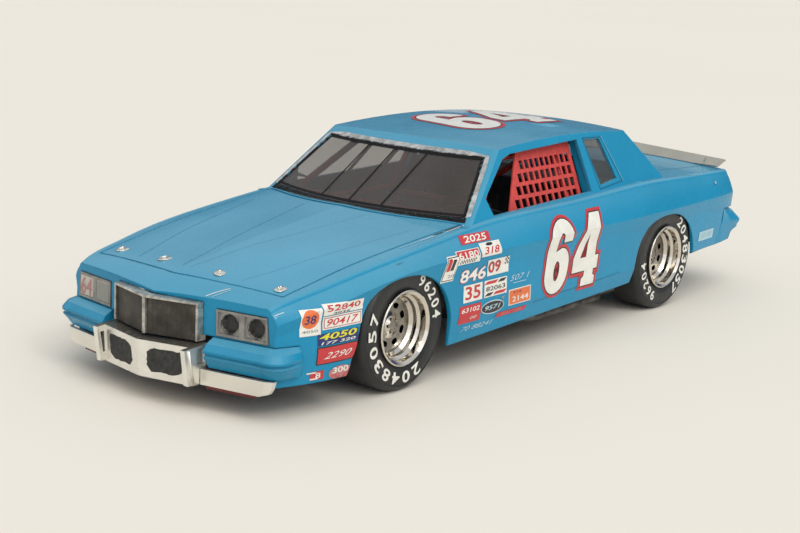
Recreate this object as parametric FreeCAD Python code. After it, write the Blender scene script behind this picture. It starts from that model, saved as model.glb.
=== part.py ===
"""A 1:24 display model of an early-1980s two-door stock car, in millimetres.

+X is the car's front, +Y its left (driver's) side and +Z up. The origin is on the ground, midway
between the axles, which is also the middle of the overall length.
"""

import FreeCAD, Part
import math
import os

from FreeCAD import Vector as V

# Overall sizes
wheelbase = 116.4
front_overhang = 48.8
rear_overhang = 48.8
half_width = 37.0
wheel_track = 2 * half_width - 15.6
roof_height = 52.0
wall = 1.1
panel_gap = 0.3
fit_gap = 0.15

# Wheels and tyres
tyre_radius = 14.75
tyre_width = 12.2
tyre_bead_radius = 8.3
tyre_shoulder = 1.2
tyre_bulge = 0.8
rim_lip_radius = 8.75
rim_lip_stand = 0.3
rim_barrel_radius = 7.7
rim_step_radius = 7.0
rim_step_depth = 2.3
rim_dish_depth = 4.6
rim_disc_thickness = 0.8
rim_hub_radius = 2.1
rim_vent_count = 8
rim_vent_radius = 0.6
rim_vent_length = 0.7
rim_vent_pitch_radius = 4.5
lug_nut_count = 5
lug_nut_radius = 0.38
lug_nut_pitch_radius = 1.4
axle_pin_radius = 1.0
axle_tube_radius = 1.5
casing_radius = 4.2
drum_radius = 4.6
running_clearance = 0.08
wheel_gap = 0.7
house_wall = 0.6
fender_gap = 0.35
arch_slack = 0.4

# Lower body: heights and widths of the sides
sill_front_z = 7.9
sill_middle_z = 9.4
sill_rear_z = 14.0
side_line_z = 14.2
crease_low_z = 24.6
crease_high_z = 28.4
sill_tuck = 0.9
shoulder_radius = 1.6
cowl_z = 34.4
deck_z = 36.5
tail_z = 34.7
nose_edge_z = 23.4
arch_top_z = 27.1

# Greenhouse
roof_edge_z = 50.0
roof_crown_radius = 400.0
roof_length_radius = 380.0
belt_half_width = half_width - 4.6
roof_half_width = half_width - 10.6
cowl_corner_x = 31.0
cowl_bow = 7.6
header_corner_x = 13.4
header_bow = 3.2
roof_rear_x = -46.6
backlight_base_x = -62.5
backlight_bow = 2.6
backlight_base_bow = 4.6
greenhouse_base_z = 35.0
pillar_round = 1.8
glass_thickness = 0.5
pillar_width = 2.3
door_window_front_x = 23.2
door_window_rear_x = -22.8
door_window_low_z = 35.3
door_window_high_z = 48.6
door_window_fall = 1.0
pillar_depth = 3.3
net_depth = 2.7
net_thickness = 0.4
net_rows = 4
net_columns = 10
net_row_pitch = 2.95
net_slot_height = 2.1
net_slot_share = 0.7
brace_pitch = 9.0
brace_width = 0.8

# Underbody
frame_z = 8.0
rail_height = 2.2
rail_width = 2.0
floor_z = frame_z + rail_height + fit_gap
floor_thickness = 0.8
tunnel_half_width = 5.2
tunnel_rear_height = 8.0
tunnel_front_height = 10.8
firewall_x = 27.5
seat_x = -12.0
seat_half_width = 6.2
driver_y = 0.39 * half_width
steering_radius = 7.2
bulkhead_x = -38.5
radiator_x = 84.0
radiator_half_width = 13.6
fan_radius = 6.4
engine_rear_x = 39.0
engine_length = 22.0
fuel_cell_x = -82.0
engine_z = frame_z + rail_height + 2.6
shaft_z = engine_z + 2.8
gearbox_rear_x = 9.9
header_radius = 0.75
pipe_radius = 1.25
pipe_end_x = -31.0
cage_radius = 0.85
cage_bend = 4.0
cage_top_y = roof_half_width - 4.8
cage_top_z = roof_edge_z - 2.9
hoop_x = -17.0
pad_x = 6.0
pad_z = 5.0
pad_half = 7.0

front_axle_x = wheelbase / 2
rear_axle_x = -wheelbase / 2
nose_tip_x = front_axle_x + front_overhang
tail_tip_x = rear_axle_x - rear_overhang
axle_z = tyre_radius
wheel_outer_y = wheel_track / 2 + tyre_width / 2
wheel_inner_y = wheel_track / 2 - tyre_width / 2
rail_y = wheel_inner_y - 6.1

# Nose and tail faces: a shallow V in plan
nose_face_x = nose_tip_x - 5.3
nose_slope = 0.17
tail_face_x = tail_tip_x + 9.0
tail_lean = 0.2
bumper_top_z = 23.8
bumper_seam_x = rear_axle_x - 34.5
bumper_seam_z = 20.2
bumper_seam_run = 4.6
bumper_side_y = half_width - 2.6
bumper_wall = 1.2
bumper_depth_rear = 2.4

# Lamps and grille
lamp_inner_y = 0.443 * half_width
lamp_outer_y = 0.8 * half_width
lamp_low_z = 16.6
lamp_high_z = 22.6
lamp_round_radius = 2.05
grille_half_width = 0.351 * half_width
grille_low_z = 15.0
grille_high_z = 23.4
grille_slope = 0.27
grille_bar = 0.5
grille_post = 0.9
grille_stand = 2.9
mouth_gap = 0.1
mouth_depth = 11.7

# Front bumper, cover, strip and apron
prow_x = nose_tip_x - 0.6
prow_slope = 0.2
prow_rake = 0.09
bumper_low_z = 5.7
bumper_high_z = 14.1
bumper_depth = 4.6
bumper_skin = 0.8
guard_outer_y = 0.386 * half_width
guard_width = 1.3
guard_low_z = 6.1
guard_rake = 0.15
strip_inner_y = guard_outer_y + fit_gap
cover_inner_y = guard_outer_y + 1.5
cover_bulge = 3.2
cover_low_z = 9.8
cover_corner_y = lamp_outer_y + 0.2
strip_low_z = 6.0
strip_high_z = 9.4
strip_outer_y = half_width - 5.0
strip_depth = 1.0
strip_reach = 2.2
apron_low_z = 4.8
apron_outer_y = half_width - 10.6

# Bonnet
hood_front_x = nose_face_x - 5.9
hood_front_slope = 0.14
hood_front_half_width = half_width - 8.4
hood_rear_half_width = half_width - 6.6
cowl_rail = 1.2
cover_top_z = 16.2
cover_seam_x = nose_face_x - 10.5
cowl_gap = 0.9
hood_pivot_x = cowl_corner_x + cowl_rail + cowl_gap + 0.3
hood_pivot_drop = 0.45
hood_pivot_radius = 0.35
hood_pivot_length = 1.3


def line(a, b):
    return Part.LineSegment(a, b).toShape()


def arc(a, middle, b):
    return Part.Arc(a, middle, b).toShape()


def polygon_face(points):
    return Part.Face(Part.makePolygon(list(points) + [points[0]]))


def box(x0, x1, y0, y1, z0, z1):
    """A box between two corners, given axis by axis."""
    return Part.makeBox(x1 - x0, y1 - y0, z1 - z0, V(x0, y0, z0))


def rod(a, b, radius):
    """A round bar from a to b."""
    return Part.makeCylinder(radius, a.distanceToPoint(b), a, b - a)


def cylinder_y(x, z, y0, y1, radius):
    """A cylinder along Y."""
    return Part.makeCylinder(radius, y1 - y0, V(x, y0, z), V(0, 1, 0))


def plan_prism(points, z0, z1):
    """A block with the given plan outline of (x, y) points."""
    return polygon_face([V(x, y, z0) for x, y in points]).extrude(V(0, 0, z1 - z0))


def side_prism(points, y0, y1):
    """A block with the given side outline of (x, z) points."""
    return polygon_face([V(x, y0, z) for x, z in points]).extrude(V(0, y1 - y0, 0))


def fuse(shapes):
    shapes = list(shapes)
    result = shapes[0].multiFuse(shapes[1:]) if len(shapes) > 1 else shapes[0]
    return result.removeSplitter()


def mirror_y(shape):
    return shape.mirror(V(0, 0, 0), V(0, 1, 0))


def both_sides(shape):
    return fuse([shape, mirror_y(shape)])


def pair(shape):
    """A shape and its mirror image, kept apart."""
    return Part.makeCompound([shape, mirror_y(shape)])


def bent_tube(points, radius, bend):
    """A tube along straight runs that are joined by tangent arcs of one bend radius."""
    edges = []
    start = points[0]
    for before, corner, after in zip(points, points[1:], points[2:]):
        back = (before - corner).normalize()
        ahead = (after - corner).normalize()
        half_turn = (math.pi - back.getAngle(ahead)) / 2
        setback = bend * math.tan(half_turn)
        enter = corner + back * setback
        leave = corner + ahead * setback
        inward = (back + ahead).normalize()
        middle = corner + inward * (bend / math.cos(half_turn) - bend)
        edges += [line(start, enter), arc(enter, middle, leave)]
        start = leave
    edges.append(line(start, points[-1]))
    path = Part.Wire(edges)
    circle = Part.Wire(Part.Circle(points[0], points[1] - points[0], radius).toShape())
    return path.makePipeShell([circle], True, False)


def revolve_y(profile, x, z):
    """Turns a profile, given as (radius, y) points, about an axis along Y through x, z."""
    face = polygon_face([V(x + r, y, z) for r, y in profile])
    return face.revolve(V(x, 0, z), V(0, 1, 0), 360)


def sill_z(x):
    """Height of the body's lower edge, which rises towards the tail."""
    knots = (
        (tail_tip_x, sill_rear_z + 0.4),
        (rear_axle_x - 12.0, sill_rear_z - 0.5),
        (rear_axle_x + 18.0, sill_middle_z + 1.2),
        (0.0, sill_middle_z),
        (front_axle_x - 10.0, sill_front_z),
        (nose_tip_x + 10.0, sill_front_z - 0.6),
    )
    for (xa, za), (xb, zb) in zip(knots, knots[1:]):
        if x <= xb:
            return za + (zb - za) * (x - xa) / (xb - xa)
    return knots[-1][1]


def body_stations():
    """Stations of the lower body from nose to tail.

    Each is x, how far the side and the shoulder stand in from the half width, belt z, crease y,
    rise of the crease and rise of the centre line over the belt.
    """
    return (
        (nose_tip_x + 3.0, 10.0, 11.2, nose_edge_z - 4.9, 9.0, 1.3, 1.9),
        (nose_face_x - 1.6, 7.1, 8.4, nose_edge_z - 0.6, 10.6, 1.5, 2.1),
        (nose_face_x - 7.4, 4.8, 6.6, nose_edge_z + 1.9, 12.4, 1.4, 2.1),
        (nose_face_x - 15.6, 2.2, 5.2, nose_edge_z + 3.6, 14.6, 1.2, 2.0),
        (front_axle_x + 14.0, 0.7, 3.8, 29.5, 18.0, 1.0, 1.9),
        (front_axle_x, 0.2, 3.2, 31.4, 20.6, 0.9, 1.8),
        (front_axle_x - 14.0, 0.1, 3.2, 33.0, 22.6, 1.0, 2.0),
        (cowl_corner_x, 0.0, 3.4, cowl_z, 24.0, 0.9, 1.8),
        (8.0, 0.0, 3.2, cowl_z + 1.0, 24.0, 0.7, 1.2),
        (-20.0, 0.0, 3.2, deck_z - 0.7, 24.0, 0.6, 1.0),
        (rear_axle_x + 14.0, 0.0, 3.3, deck_z, 22.0, 0.7, 1.1),
        (rear_axle_x, 0.2, 3.4, deck_z - 0.1, 22.0, 0.8, 1.3),
        (rear_axle_x - 16.0, 1.0, 4.0, deck_z - 0.7, 21.0, 0.9, 1.5),
        (tail_face_x + 3.0, 2.6, 5.0, tail_z + 0.4, 20.0, 1.0, 1.6),
        (tail_tip_x - 2.0, 6.4, 7.6, tail_z - 0.4, 19.0, 1.0, 1.6),
    )


def body_section(station, inset):
    """Closed outline of the lower body at a station, drawn inwards by the inset."""
    x, side_in, shoulder_in, belt_z, crease_y, crease_rise, centre_rise = station
    side = half_width - side_in - inset
    top = belt_z - inset
    high = min(crease_high_z, belt_z - 3.6)
    low = min(crease_low_z, high - 2.6)
    seam = min(side_line_z, low - 2.4)
    bottom = sill_z(x) - (12.0 if inset else 0.0)
    shoulder = half_width - shoulder_in - inset
    radius = shoulder_radius
    upper = [
        V(x, side - sill_tuck, bottom),
        V(x, side - 0.25, seam),
        V(x, side - 0.55, low),
        V(x, side, high),
        V(x, shoulder, top - radius * 0.6),
        V(x, shoulder - radius, top),
        V(x, crease_y, top + crease_rise),
        V(x, 0, top + centre_rise),
    ]
    bow = {3: V(0, 0.22, 0), 4: V(0, 0.3, 0.3), 5: V(0, 0, 0.12), 6: V(0, 0, 0.06)}
    halves = []
    for sign in (1, -1):
        points = [V(p.x, sign * p.y, p.z) for p in upper]
        half = []
        for index, (a, b) in enumerate(zip(points, points[1:])):
            if index in bow:
                push = V(0, sign * bow[index].y, bow[index].z)
                half.append(arc(a, (a + b) * 0.5 + push, b))
            else:
                half.append(line(a, b))
        halves.append(half)
    left, right = halves
    bottom_edge = line(V(x, -upper[0].y, bottom), upper[0])
    return Part.Wire([bottom_edge] + left + right[::-1])


def nose_x(y, ahead=0.0):
    """Where the nose face lies at a distance from the centre line."""
    return nose_face_x + ahead - nose_slope * abs(y)


def tail_x(z, ahead=0.0):
    """Where the leaning tail panel lies at a height."""
    return tail_face_x + ahead - tail_lean * (tail_z - z)


def ends(inset):
    """A block whose front face is the V of the nose and whose rear face is the leaning tail panel."""
    reach = 2 * half_width
    nose = [
        (nose_x(0, -inset), 0),
        (nose_x(reach, -inset), reach),
        (2 * tail_tip_x, reach),
        (2 * tail_tip_x, -reach),
        (nose_x(reach, -inset), -reach),
    ]
    low, high = -20, 80
    tail = [(tail_x(low, inset), low), (2 * nose_tip_x, low), (2 * nose_tip_x, high), (tail_x(high, inset), high)]
    return plan_prism(nose, low, high).common(side_prism(tail, -reach, reach))


def lower_body(inset):
    """Solid of the body below the belt line."""
    wires = [body_section(station, inset) for station in body_stations()]
    return Part.makeLoft(wires, True, False).common(ends(inset))


def greenhouse_outline(z, inset):
    """Plan outline of the greenhouse at a height, with round pillars."""
    t = (z - greenhouse_base_z) / (roof_edge_z - greenhouse_base_z)

    def between(low, high):
        return low + (high - low) * t

    side = between(belt_half_width, roof_half_width) - inset
    front = between(cowl_corner_x, header_corner_x) - inset
    front_bow = between(cowl_bow, header_bow)
    rear = between(backlight_base_x, roof_rear_x) + inset
    rear_bow = between(backlight_base_bow, backlight_bow)
    r = pillar_round
    d = r * (1 - math.sqrt(0.5))

    def flip(p):
        return V(p.x, -p.y, p.z)

    fa, fm, fb = V(front - 0.4 * r, side, z), V(front - 0.4 * d, side - d, z), V(front + 0.25, side - r, z)
    ra, rm, rb = V(rear - 0.25, side - r, z), V(rear + 0.4 * d, side - d, z), V(rear + 1.2 * r, side, z)
    edges = [
        arc(fa, fm, fb),
        arc(fb, V(front + front_bow, 0, z), flip(fb)),
        arc(flip(fb), flip(fm), flip(fa)),
        line(flip(fa), flip(rb)),
        arc(flip(rb), flip(rm), flip(ra)),
        arc(flip(ra), V(rear - rear_bow, 0, z), ra),
        arc(ra, rm, rb),
        line(rb, fa),
    ]
    return Part.Wire(edges)


def roof_lens(inset):
    """Everything below the crowned roof surface."""
    top = roof_height - inset
    reach = 2 * half_width
    middle_x = (header_corner_x + roof_rear_x) / 2
    drop = roof_crown_radius - math.sqrt(roof_crown_radius**2 - reach**2)
    left = V(middle_x, reach, top - drop)
    right = V(middle_x, -reach, top - drop)
    bottom = V(0, 0, -60)
    edges = [
        arc(left, V(middle_x, 0, top), right),
        line(right, right + bottom),
        line(right + bottom, left + bottom),
        line(left + bottom, left),
    ]
    face = Part.Face(Part.Wire(edges))
    centre = V(middle_x, 0, top - roof_length_radius)
    swing = 14
    face.rotate(centre, V(0, 1, 0), -swing)
    return face.revolve(centre, V(0, 1, 0), 2 * swing)


def greenhouse(inset):
    """Solid of the cabin above the belt line."""
    low = greenhouse_base_z - (4.0 if inset else 5.0)
    wires = [greenhouse_outline(z, inset) for z in (low, roof_height + 2.0)]
    return Part.makeLoft(wires, True, True).common(roof_lens(inset))


def hood_outline(gap, rear_gap):
    """Plan outline of the bonnet, drawn inwards by a gap."""
    front = hood_front_x - gap
    near = hood_front_half_width - gap
    far = hood_rear_half_width - gap
    rear = cowl_corner_x + cowl_rail + rear_gap
    left_front = V(front - hood_front_slope * near, near, 0)
    right_front = V(left_front.x, -near, 0)
    left_rear = V(rear, far, 0)
    right_rear = V(rear, -far, 0)
    return Part.Wire(
        [
            line(V(front, 0, 0), left_front),
            line(left_front, left_rear),
            arc(left_rear, V(rear + cowl_bow, 0, 0), right_rear),
            line(right_rear, right_front),
            line(right_front, V(front, 0, 0)),
        ]
    )


def hood_prism(gap, rear_gap):
    face = Part.Face(hood_outline(gap, rear_gap))
    face.translate(V(0, 0, 20))
    return face.extrude(V(0, 0, 22))


def arch_prism(axle_x, lean):
    """The opening over a wheel: upright behind it and leaning forward ahead of it."""
    back = axle_x - tyre_radius - arch_slack
    front = axle_x + tyre_radius + lean
    rise = arch_top_z - axle_z
    a = V(back, 0, 0)
    b = V(back, 0, axle_z)
    top = V(axle_x + 1.5, 0, arch_top_z)
    c = V(front, 0, axle_z + 0.2 * rise)
    d = V(front + 0.35 * axle_z, 0, 0)
    rear_mid = V(axle_x - 0.68 * tyre_radius, 0, axle_z + 0.74 * rise)
    front_mid = V(axle_x + 0.76 * tyre_radius + 0.5 * lean, 0, axle_z + 0.78 * rise)
    rim_curve = Part.BSplineCurve()
    rim_curve.interpolate([b, rear_mid, top, front_mid, c])
    edges = [line(a, b), rim_curve.toShape(), line(c, d), line(d, a)]
    face = Part.Face(Part.Wire(edges))
    face.translate(V(0, -half_width - 5, 0))
    return face.extrude(V(0, 2 * half_width + 10, 0))


def wheel_room(axle_x):
    """The space that a pair of wheels needs to turn in, with the tyres' rounded shoulders."""
    radius = tyre_radius + fender_gap
    inner = wheel_inner_y - wheel_gap
    outer = wheel_outer_y + panel_gap
    profile = [
        (0, inner),
        (radius, inner),
        (radius, outer - tyre_shoulder),
        (radius - 1.1, outer),
        (0, outer),
    ]
    return pair(revolve_y(profile, axle_x, axle_z))


def door_window():
    """Opening of the door window, seen from the side."""
    front, rear = door_window_front_x, door_window_rear_x
    low, high = door_window_low_z, door_window_high_z
    points = [(front - 1.6, low), (front, low + 4.3), (front - 10.6, high - 1.0), (front - 14.2, high)]
    points += [(rear + 0.8, high + door_window_fall), (rear, low + 1.2)]
    return side_prism(points, roof_half_width - 6.4, half_width + 8)


def quarter_window(gap=0.0):
    """Opening of the small window behind the door."""
    front, high = door_window_rear_x - 2.1, door_window_high_z + 0.7
    top = [(front - gap, high - gap), (front - 7.7 + gap, high - 0.3 - gap)]
    points = top + [(front - 11.2 + 2 * gap, high - 10.8 + gap), (front - 2.9 - gap, high - 11.8 + gap)]
    return side_prism(points, roof_half_width - 6.4, half_width + 8)


def pillar_return():
    """Inner face of the pillar behind the door window, turned in from the skin."""
    post = greenhouse(0).cut(greenhouse(pillar_depth))
    rear = door_window_rear_x
    return post.common(box(rear - wall, rear, 0, half_width, greenhouse_base_z - 1.0, roof_height))


def windscreen_cutter(gap):
    """Opening of the windscreen, looking along the car."""
    low = greenhouse_base_z + 0.6 + gap
    high = roof_edge_z - 2.0 - gap
    low_y = belt_half_width - pillar_width - gap
    high_y = roof_half_width - pillar_width + 0.4 - gap
    points = [V(8, low_y, low), V(8, high_y, high), V(8, -high_y, high), V(8, -low_y, low)]
    return polygon_face(points).extrude(V(45, 0, 0))


def backlight_cutter(gap):
    """Opening of the rear window, looking along the car."""
    low = deck_z + 1.9 + gap
    high = roof_edge_z - 1.8 - gap
    low_y = belt_half_width - 7.0 - gap
    high_y = roof_half_width - 4.4 - gap
    points = [V(-75, low_y, low), V(-75, high_y, high), V(-75, -high_y, high), V(-75, -low_y, low)]
    return polygon_face(points).extrude(V(32, 0, 0))


def lamp_prism(gap):
    """Opening for the left lamps, looking along the car."""
    y0, y1 = lamp_inner_y + gap, lamp_outer_y - gap
    z0, z1 = lamp_low_z + gap, lamp_high_z - gap
    x = nose_x(2 * half_width)
    points = [V(x, y0, z0), V(x, y1, z0), V(x, y1 - 0.5, z1), V(x, y0, z1)]
    return polygon_face(points).extrude(V(2 * front_overhang, 0, 0))


def bumper_room(gap):
    """The tail below the bumper's seam, which the rear bumper takes up, grown by a gap."""
    seam = bumper_seam_x + gap
    top = bumper_top_z + gap
    foot = seam + bumper_seam_run
    outline = [(foot, 0), (foot, sill_rear_z - 0.4), (seam, bumper_seam_z), (seam - 1.2, top)]
    outline += [(tail_tip_x - 5.0, top), (tail_tip_x - 5.0, 0)]
    return side_prism(outline, -2 * half_width, 2 * half_width)


def cover_region(gap):
    """Where the front bumper cover takes the place of the body's skin."""
    top = cover_top_z + gap
    seam = cover_seam_x - gap
    low = cover_low_z - gap
    step = seam + 4.8
    outline = [(seam, low), (seam, top), (nose_tip_x + 5, top), (nose_tip_x + 5, 0), (step, 0), (step, low)]
    return side_prism(outline, -2 * half_width, 2 * half_width)


def hood_pivot_z():
    """The bonnet turns about the middle of its skin at the rear corners."""
    return cowl_z - hood_pivot_drop


def body_shell(outer, inner):
    skin = outer.fuse(greenhouse(0)).cut(inner.fuse(greenhouse(wall)))
    x, z, y = hood_pivot_x, hood_pivot_z(), hood_rear_half_width
    boss = box(x - 1.1, x + 1.1, y + 0.1, y + 2.6, z - 1.3, z + 0.3)
    post = pillar_return()
    skin = skin.fuse([boss, mirror_y(boss), post, mirror_y(post)])
    bore = cylinder_y(x, z, y - 2.4, y + hood_pivot_length + 0.2, hood_pivot_radius + running_clearance)
    openings = [
        hood_prism(0.0, 0.0),
        arch_prism(front_axle_x, 2.0),
        arch_prism(rear_axle_x, 3.6),
        wheel_room(front_axle_x),
        wheel_room(rear_axle_x),
        windscreen_cutter(0.0),
        backlight_cutter(0.0),
        bumper_room(panel_gap),
        cover_region(fit_gap),
        bore,
        mirror_y(bore),
    ]
    for side in (door_window(), quarter_window(), lamp_prism(0.0)):
        openings += [side, mirror_y(side)]
    mouth = grille_half_width + mouth_gap
    openings.append(box(nose_face_x - mouth_depth, nose_tip_x, -mouth, mouth, 0, grille_high_z + mouth_gap))
    shell = skin.cut(openings)
    return max(shell.Solids, key=lambda solid: solid.Volume)


def hood(outer, inner):
    panel = outer.cut(inner).common(hood_prism(panel_gap, cowl_gap))
    x, z, y = hood_pivot_x, hood_pivot_z(), hood_rear_half_width
    pin = cylinder_y(x, z, y - 1.2, y + hood_pivot_length, hood_pivot_radius)
    lug = cylinder_y(x + 0.5, z - 0.25, y - 1.2, y - panel_gap, 0.75).common(outer)
    side = fuse([pin, lug])
    return fuse([panel, side, mirror_y(side)])


def tyre(axle_x):
    """Slick tyre with round shoulders, for a left wheel."""
    out, inn = wheel_outer_y, wheel_inner_y
    shoulder = tyre_radius - 0.9
    profile = [
        (tyre_bead_radius, inn + tyre_bulge),
        (shoulder, inn + 0.1),
        (tyre_radius, inn + tyre_shoulder),
        (tyre_radius, out - tyre_shoulder),
        (shoulder, out - 0.1),
        (tyre_bead_radius, out - tyre_bulge),
    ]
    return revolve_y(profile, axle_x, axle_z)


def rim(axle_x):
    """Deep-dish steel wheel with a stepped barrel, a vented disc and a hub bored for its axle pin."""
    out, inn = wheel_outer_y, wheel_inner_y
    seat = tyre_bead_radius - 0.05
    lip = out - tyre_bulge + 0.2
    disc = out - rim_dish_depth
    back = disc - rim_disc_thickness
    profile = [
        (0.0, disc + 0.9),
        (rim_hub_radius * 0.55, disc + 0.9),
        (rim_hub_radius, disc + 0.3),
        (rim_hub_radius + 1.0, disc),
        (rim_step_radius - 0.7, disc + 0.5),
        (rim_step_radius, disc + 1.3),
        (rim_step_radius, out - rim_step_depth),
        (rim_barrel_radius, out - rim_step_depth + 0.5),
        (rim_barrel_radius, out + rim_lip_stand - 0.5),
        (rim_lip_radius - 0.3, out + rim_lip_stand),
        (rim_lip_radius, out + rim_lip_stand - 0.2),
        (rim_lip_radius, lip),
        (seat, lip),
        (seat, inn + tyre_bulge),
        (seat - 0.6, inn + tyre_bulge),
        (seat - 0.6, back - 0.8),
        (rim_step_radius - 0.6, back),
        (rim_hub_radius + 1.6, back - 0.2),
        (rim_hub_radius + 0.4, back - 3.4),
        (0.0, back - 3.4),
    ]
    body = revolve_y(profile, axle_x, axle_z)
    cuts = [cylinder_y(axle_x, axle_z, inn - 1, disc - 0.1, axle_pin_radius + running_clearance)]
    for k in range(rim_vent_count):
        turn = 360.0 * (k + 0.5) / rim_vent_count
        hole = cylinder_y(0, 0, -2, 3, rim_vent_radius)
        hole = fuse(
            [
                hole.translated(V(0, 0, -rim_vent_length / 2)),
                hole.translated(V(0, 0, rim_vent_length / 2)),
                box(-rim_vent_radius, rim_vent_radius, -2, 3, -rim_vent_length / 2, rim_vent_length / 2),
            ]
        )
        hole.translate(V(rim_vent_pitch_radius, disc - 0.5, 0))
        hole.rotate(V(0, 0, 0), V(0, 1, 0), turn)
        hole.translate(V(axle_x, 0, axle_z))
        cuts.append(hole)
    nuts = []
    for k in range(lug_nut_count):
        turn = 2 * math.pi * k / lug_nut_count
        x = axle_x + lug_nut_pitch_radius * math.cos(turn)
        z = axle_z + lug_nut_pitch_radius * math.sin(turn)
        nuts.append(cylinder_y(x, z, disc + 0.2, disc + 1.1, lug_nut_radius))
    return fuse([body.cut(cuts)] + nuts)


def knuckle(axle_x):
    """Upright that carries a front wheel on its stub axle."""
    inner = wheel_inner_y - wheel_gap - 1.6
    upright = box(axle_x - 1.4, axle_x + 1.4, inner, inner + 1.6, axle_z - 4.0, axle_z + 4.0)
    flange = cylinder_y(axle_x, axle_z, inner, inner + 2.2, 2.6)
    stub = cylinder_y(axle_x, axle_z, inner, wheel_outer_y - rim_dish_depth - 0.6, axle_pin_radius)
    arm = box(axle_x - 6.0, axle_x, inner, inner + 1.0, axle_z - 2.6, axle_z - 1.6)
    return fuse([upright, flange, stub, arm])


def front_suspension():
    """Lower and upper arms with the crossmember between the frame rails."""
    x = front_axle_x
    tip = wheel_inner_y - wheel_gap - 1.6 - fit_gap
    root = rail_y - 4.0
    parts = [box(x - 3.0, x + 3.0, fit_gap - rail_y, rail_y - fit_gap, frame_z, frame_z + rail_height)]
    for z, spread in ((axle_z - 3.4, 5.0), (axle_z + 3.2, 3.6)):
        arm = plan_prism([(x - spread, root), (x - 1.2, tip), (x + 1.2, tip), (x + spread, root)], z, z + 0.9)
        inside = [(x - spread + 1.6, root + 1), (x - 0.6, tip - 2.4), (x + 0.6, tip - 2.4), (x + spread - 1.6, root + 1)]
        wishbone = arm.cut(plan_prism(inside, z - 1, z + 2))
        parts += [wishbone, mirror_y(wishbone)]
    tower = box(x - 3.0, x + 3.0, root - 1.0, root + 1.6, frame_z + rail_height - 0.2, axle_z + 4.4)
    spring = Part.makeCylinder(1.7, 6.8, V(x, root + 3.2, axle_z - 3.0))
    parts += [tower, mirror_y(tower), spring, mirror_y(spring)]
    return fuse(parts)


def rear_axle():
    """Live axle: round tubes, the centre casing and the pins that carry the wheels."""
    x = rear_axle_x
    reach = wheel_outer_y - rim_dish_depth - 0.6
    tube_end = wheel_inner_y - wheel_gap
    tube = cylinder_y(x, axle_z, -tube_end, tube_end, axle_tube_radius)
    pins = cylinder_y(x, axle_z, -reach, reach, axle_pin_radius)
    ball = Part.makeSphere(casing_radius, V(x, 0, axle_z))
    casing = ball.common(box(x - 3.2, x + 4.4, -casing_radius, casing_radius, axle_z - 4, axle_z + 4))
    snout = Part.makeCylinder(axle_tube_radius, 6.0, V(x + 2.5, 0, axle_z), V(1, 0, 0))
    drum = cylinder_y(x, axle_z, tube_end - 1.2, tube_end, drum_radius)
    return fuse([tube, pins, casing, snout, drum, mirror_y(drum)])


def rear_springs():
    """Coil springs on their perches over the rear axle."""
    x, y = rear_axle_x, rail_y - 4.4
    low = axle_z + axle_tube_radius + fit_gap
    perch = box(x - 2.4, x + 2.4, y - 1.6, y + 1.6, low, low + 0.75)
    coil = Part.makeCylinder(1.9, 8.0, V(x, y, low + 0.35))
    return pair(fuse([perch, coil]))


def frame_rails():
    """Welded box frame: two rails that step up over the rear axle, joined by cross members."""
    z0, z1 = frame_z, frame_z + rail_height
    front, rear = nose_face_x - 9.0, tail_face_x + 4.0
    kick = rear_axle_x + 18.0
    up = axle_z + 9.6
    outline = [
        (front, z0),
        (front, z1),
        (kick, z1),
        (rear_axle_x + 7.0, up + rail_height),
        (rear_axle_x - 10.0, up + rail_height),
        (rear_axle_x - 18.0, up - 6.0 + rail_height),
        (rear, up - 6.0 + rail_height),
        (rear, up - 6.0),
        (rear_axle_x - 16.5, up - 6.0),
        (rear_axle_x - 9.0, up),
        (rear_axle_x + 6.0, up),
        (kick - 1.6, z0),
    ]
    rail = side_prism(outline, rail_y, rail_y + rail_width)
    members = [rail, mirror_y(rail)]
    for x in (front - 2.0, radiator_x, front_axle_x - 17.0, pad_x, kick + 6.0):
        members.append(box(x - 1.0, x + 1.0, -rail_y, rail_y, z0, z0 + 1.6))
    for x in (rear + 1.0, fuel_cell_x - 6.0, fuel_cell_x + 6.0, rear_axle_x - 9.5):
        z = up - 6.0 if x < rear_axle_x - 11 else up
        members.append(box(x - 1.0, x + 1.0, -rail_y, rail_y, z, z + 1.6))
    sill_out = half_width - wall - sill_tuck - 1.2
    side_rail = box(bulkhead_x + 4, firewall_x - 2.0, sill_out - 1.8, sill_out, z0 + 0.6, z1)
    for x in (firewall_x - 4.0, -4.0, bulkhead_x + 6.0):
        outrigger = box(x - 0.9, x + 0.9, rail_y, sill_out, z0 + 0.6, z1)
        members += [outrigger, mirror_y(outrigger)]
    pad = box(pad_x - pad_half, pad_x + pad_half, -pad_half, pad_half, pad_z, z0 + 0.8)
    members += [side_rail, mirror_y(side_rail), pad]
    return fuse(members)


def interior_tub():
    """Floor pan with firewall, tunnel and rear bulkhead."""
    z = floor_z
    side = half_width - wall - sill_tuck - 1.4
    floor = box(bulkhead_x, firewall_x, -side, side, z, z + floor_thickness)
    fire = box(firewall_x, firewall_x + floor_thickness, -side + 3.0, side - 3.0, z, cowl_z - 4.2)
    back = box(bulkhead_x - floor_thickness, bulkhead_x, -side + 8.0, side - 8.0, z, deck_z - 3.6)
    top = deck_z - 3.6
    shelf = box(backlight_base_x + 3.0, bulkhead_x, -side + 8.0, side - 8.0, top, top + floor_thickness)

    def tunnel_block(ahead, shrink):
        """The tunnel's outline, grown along the car and shrunk by a wall."""
        rear, front = bulkhead_x - ahead, firewall_x + ahead
        high = [(rear, z + tunnel_rear_height - shrink), (front, z + tunnel_front_height - shrink)]
        half = tunnel_half_width - shrink
        return side_prism([(rear, z - ahead)] + high + [(front, z - ahead)], -half, half)

    hollow = tunnel_block(1.0, floor_thickness)
    return fuse([floor, fire, back, shelf, tunnel_block(0, 0)]).cut([hollow, *cage_braces(cage_radius + fit_gap)])


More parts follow.
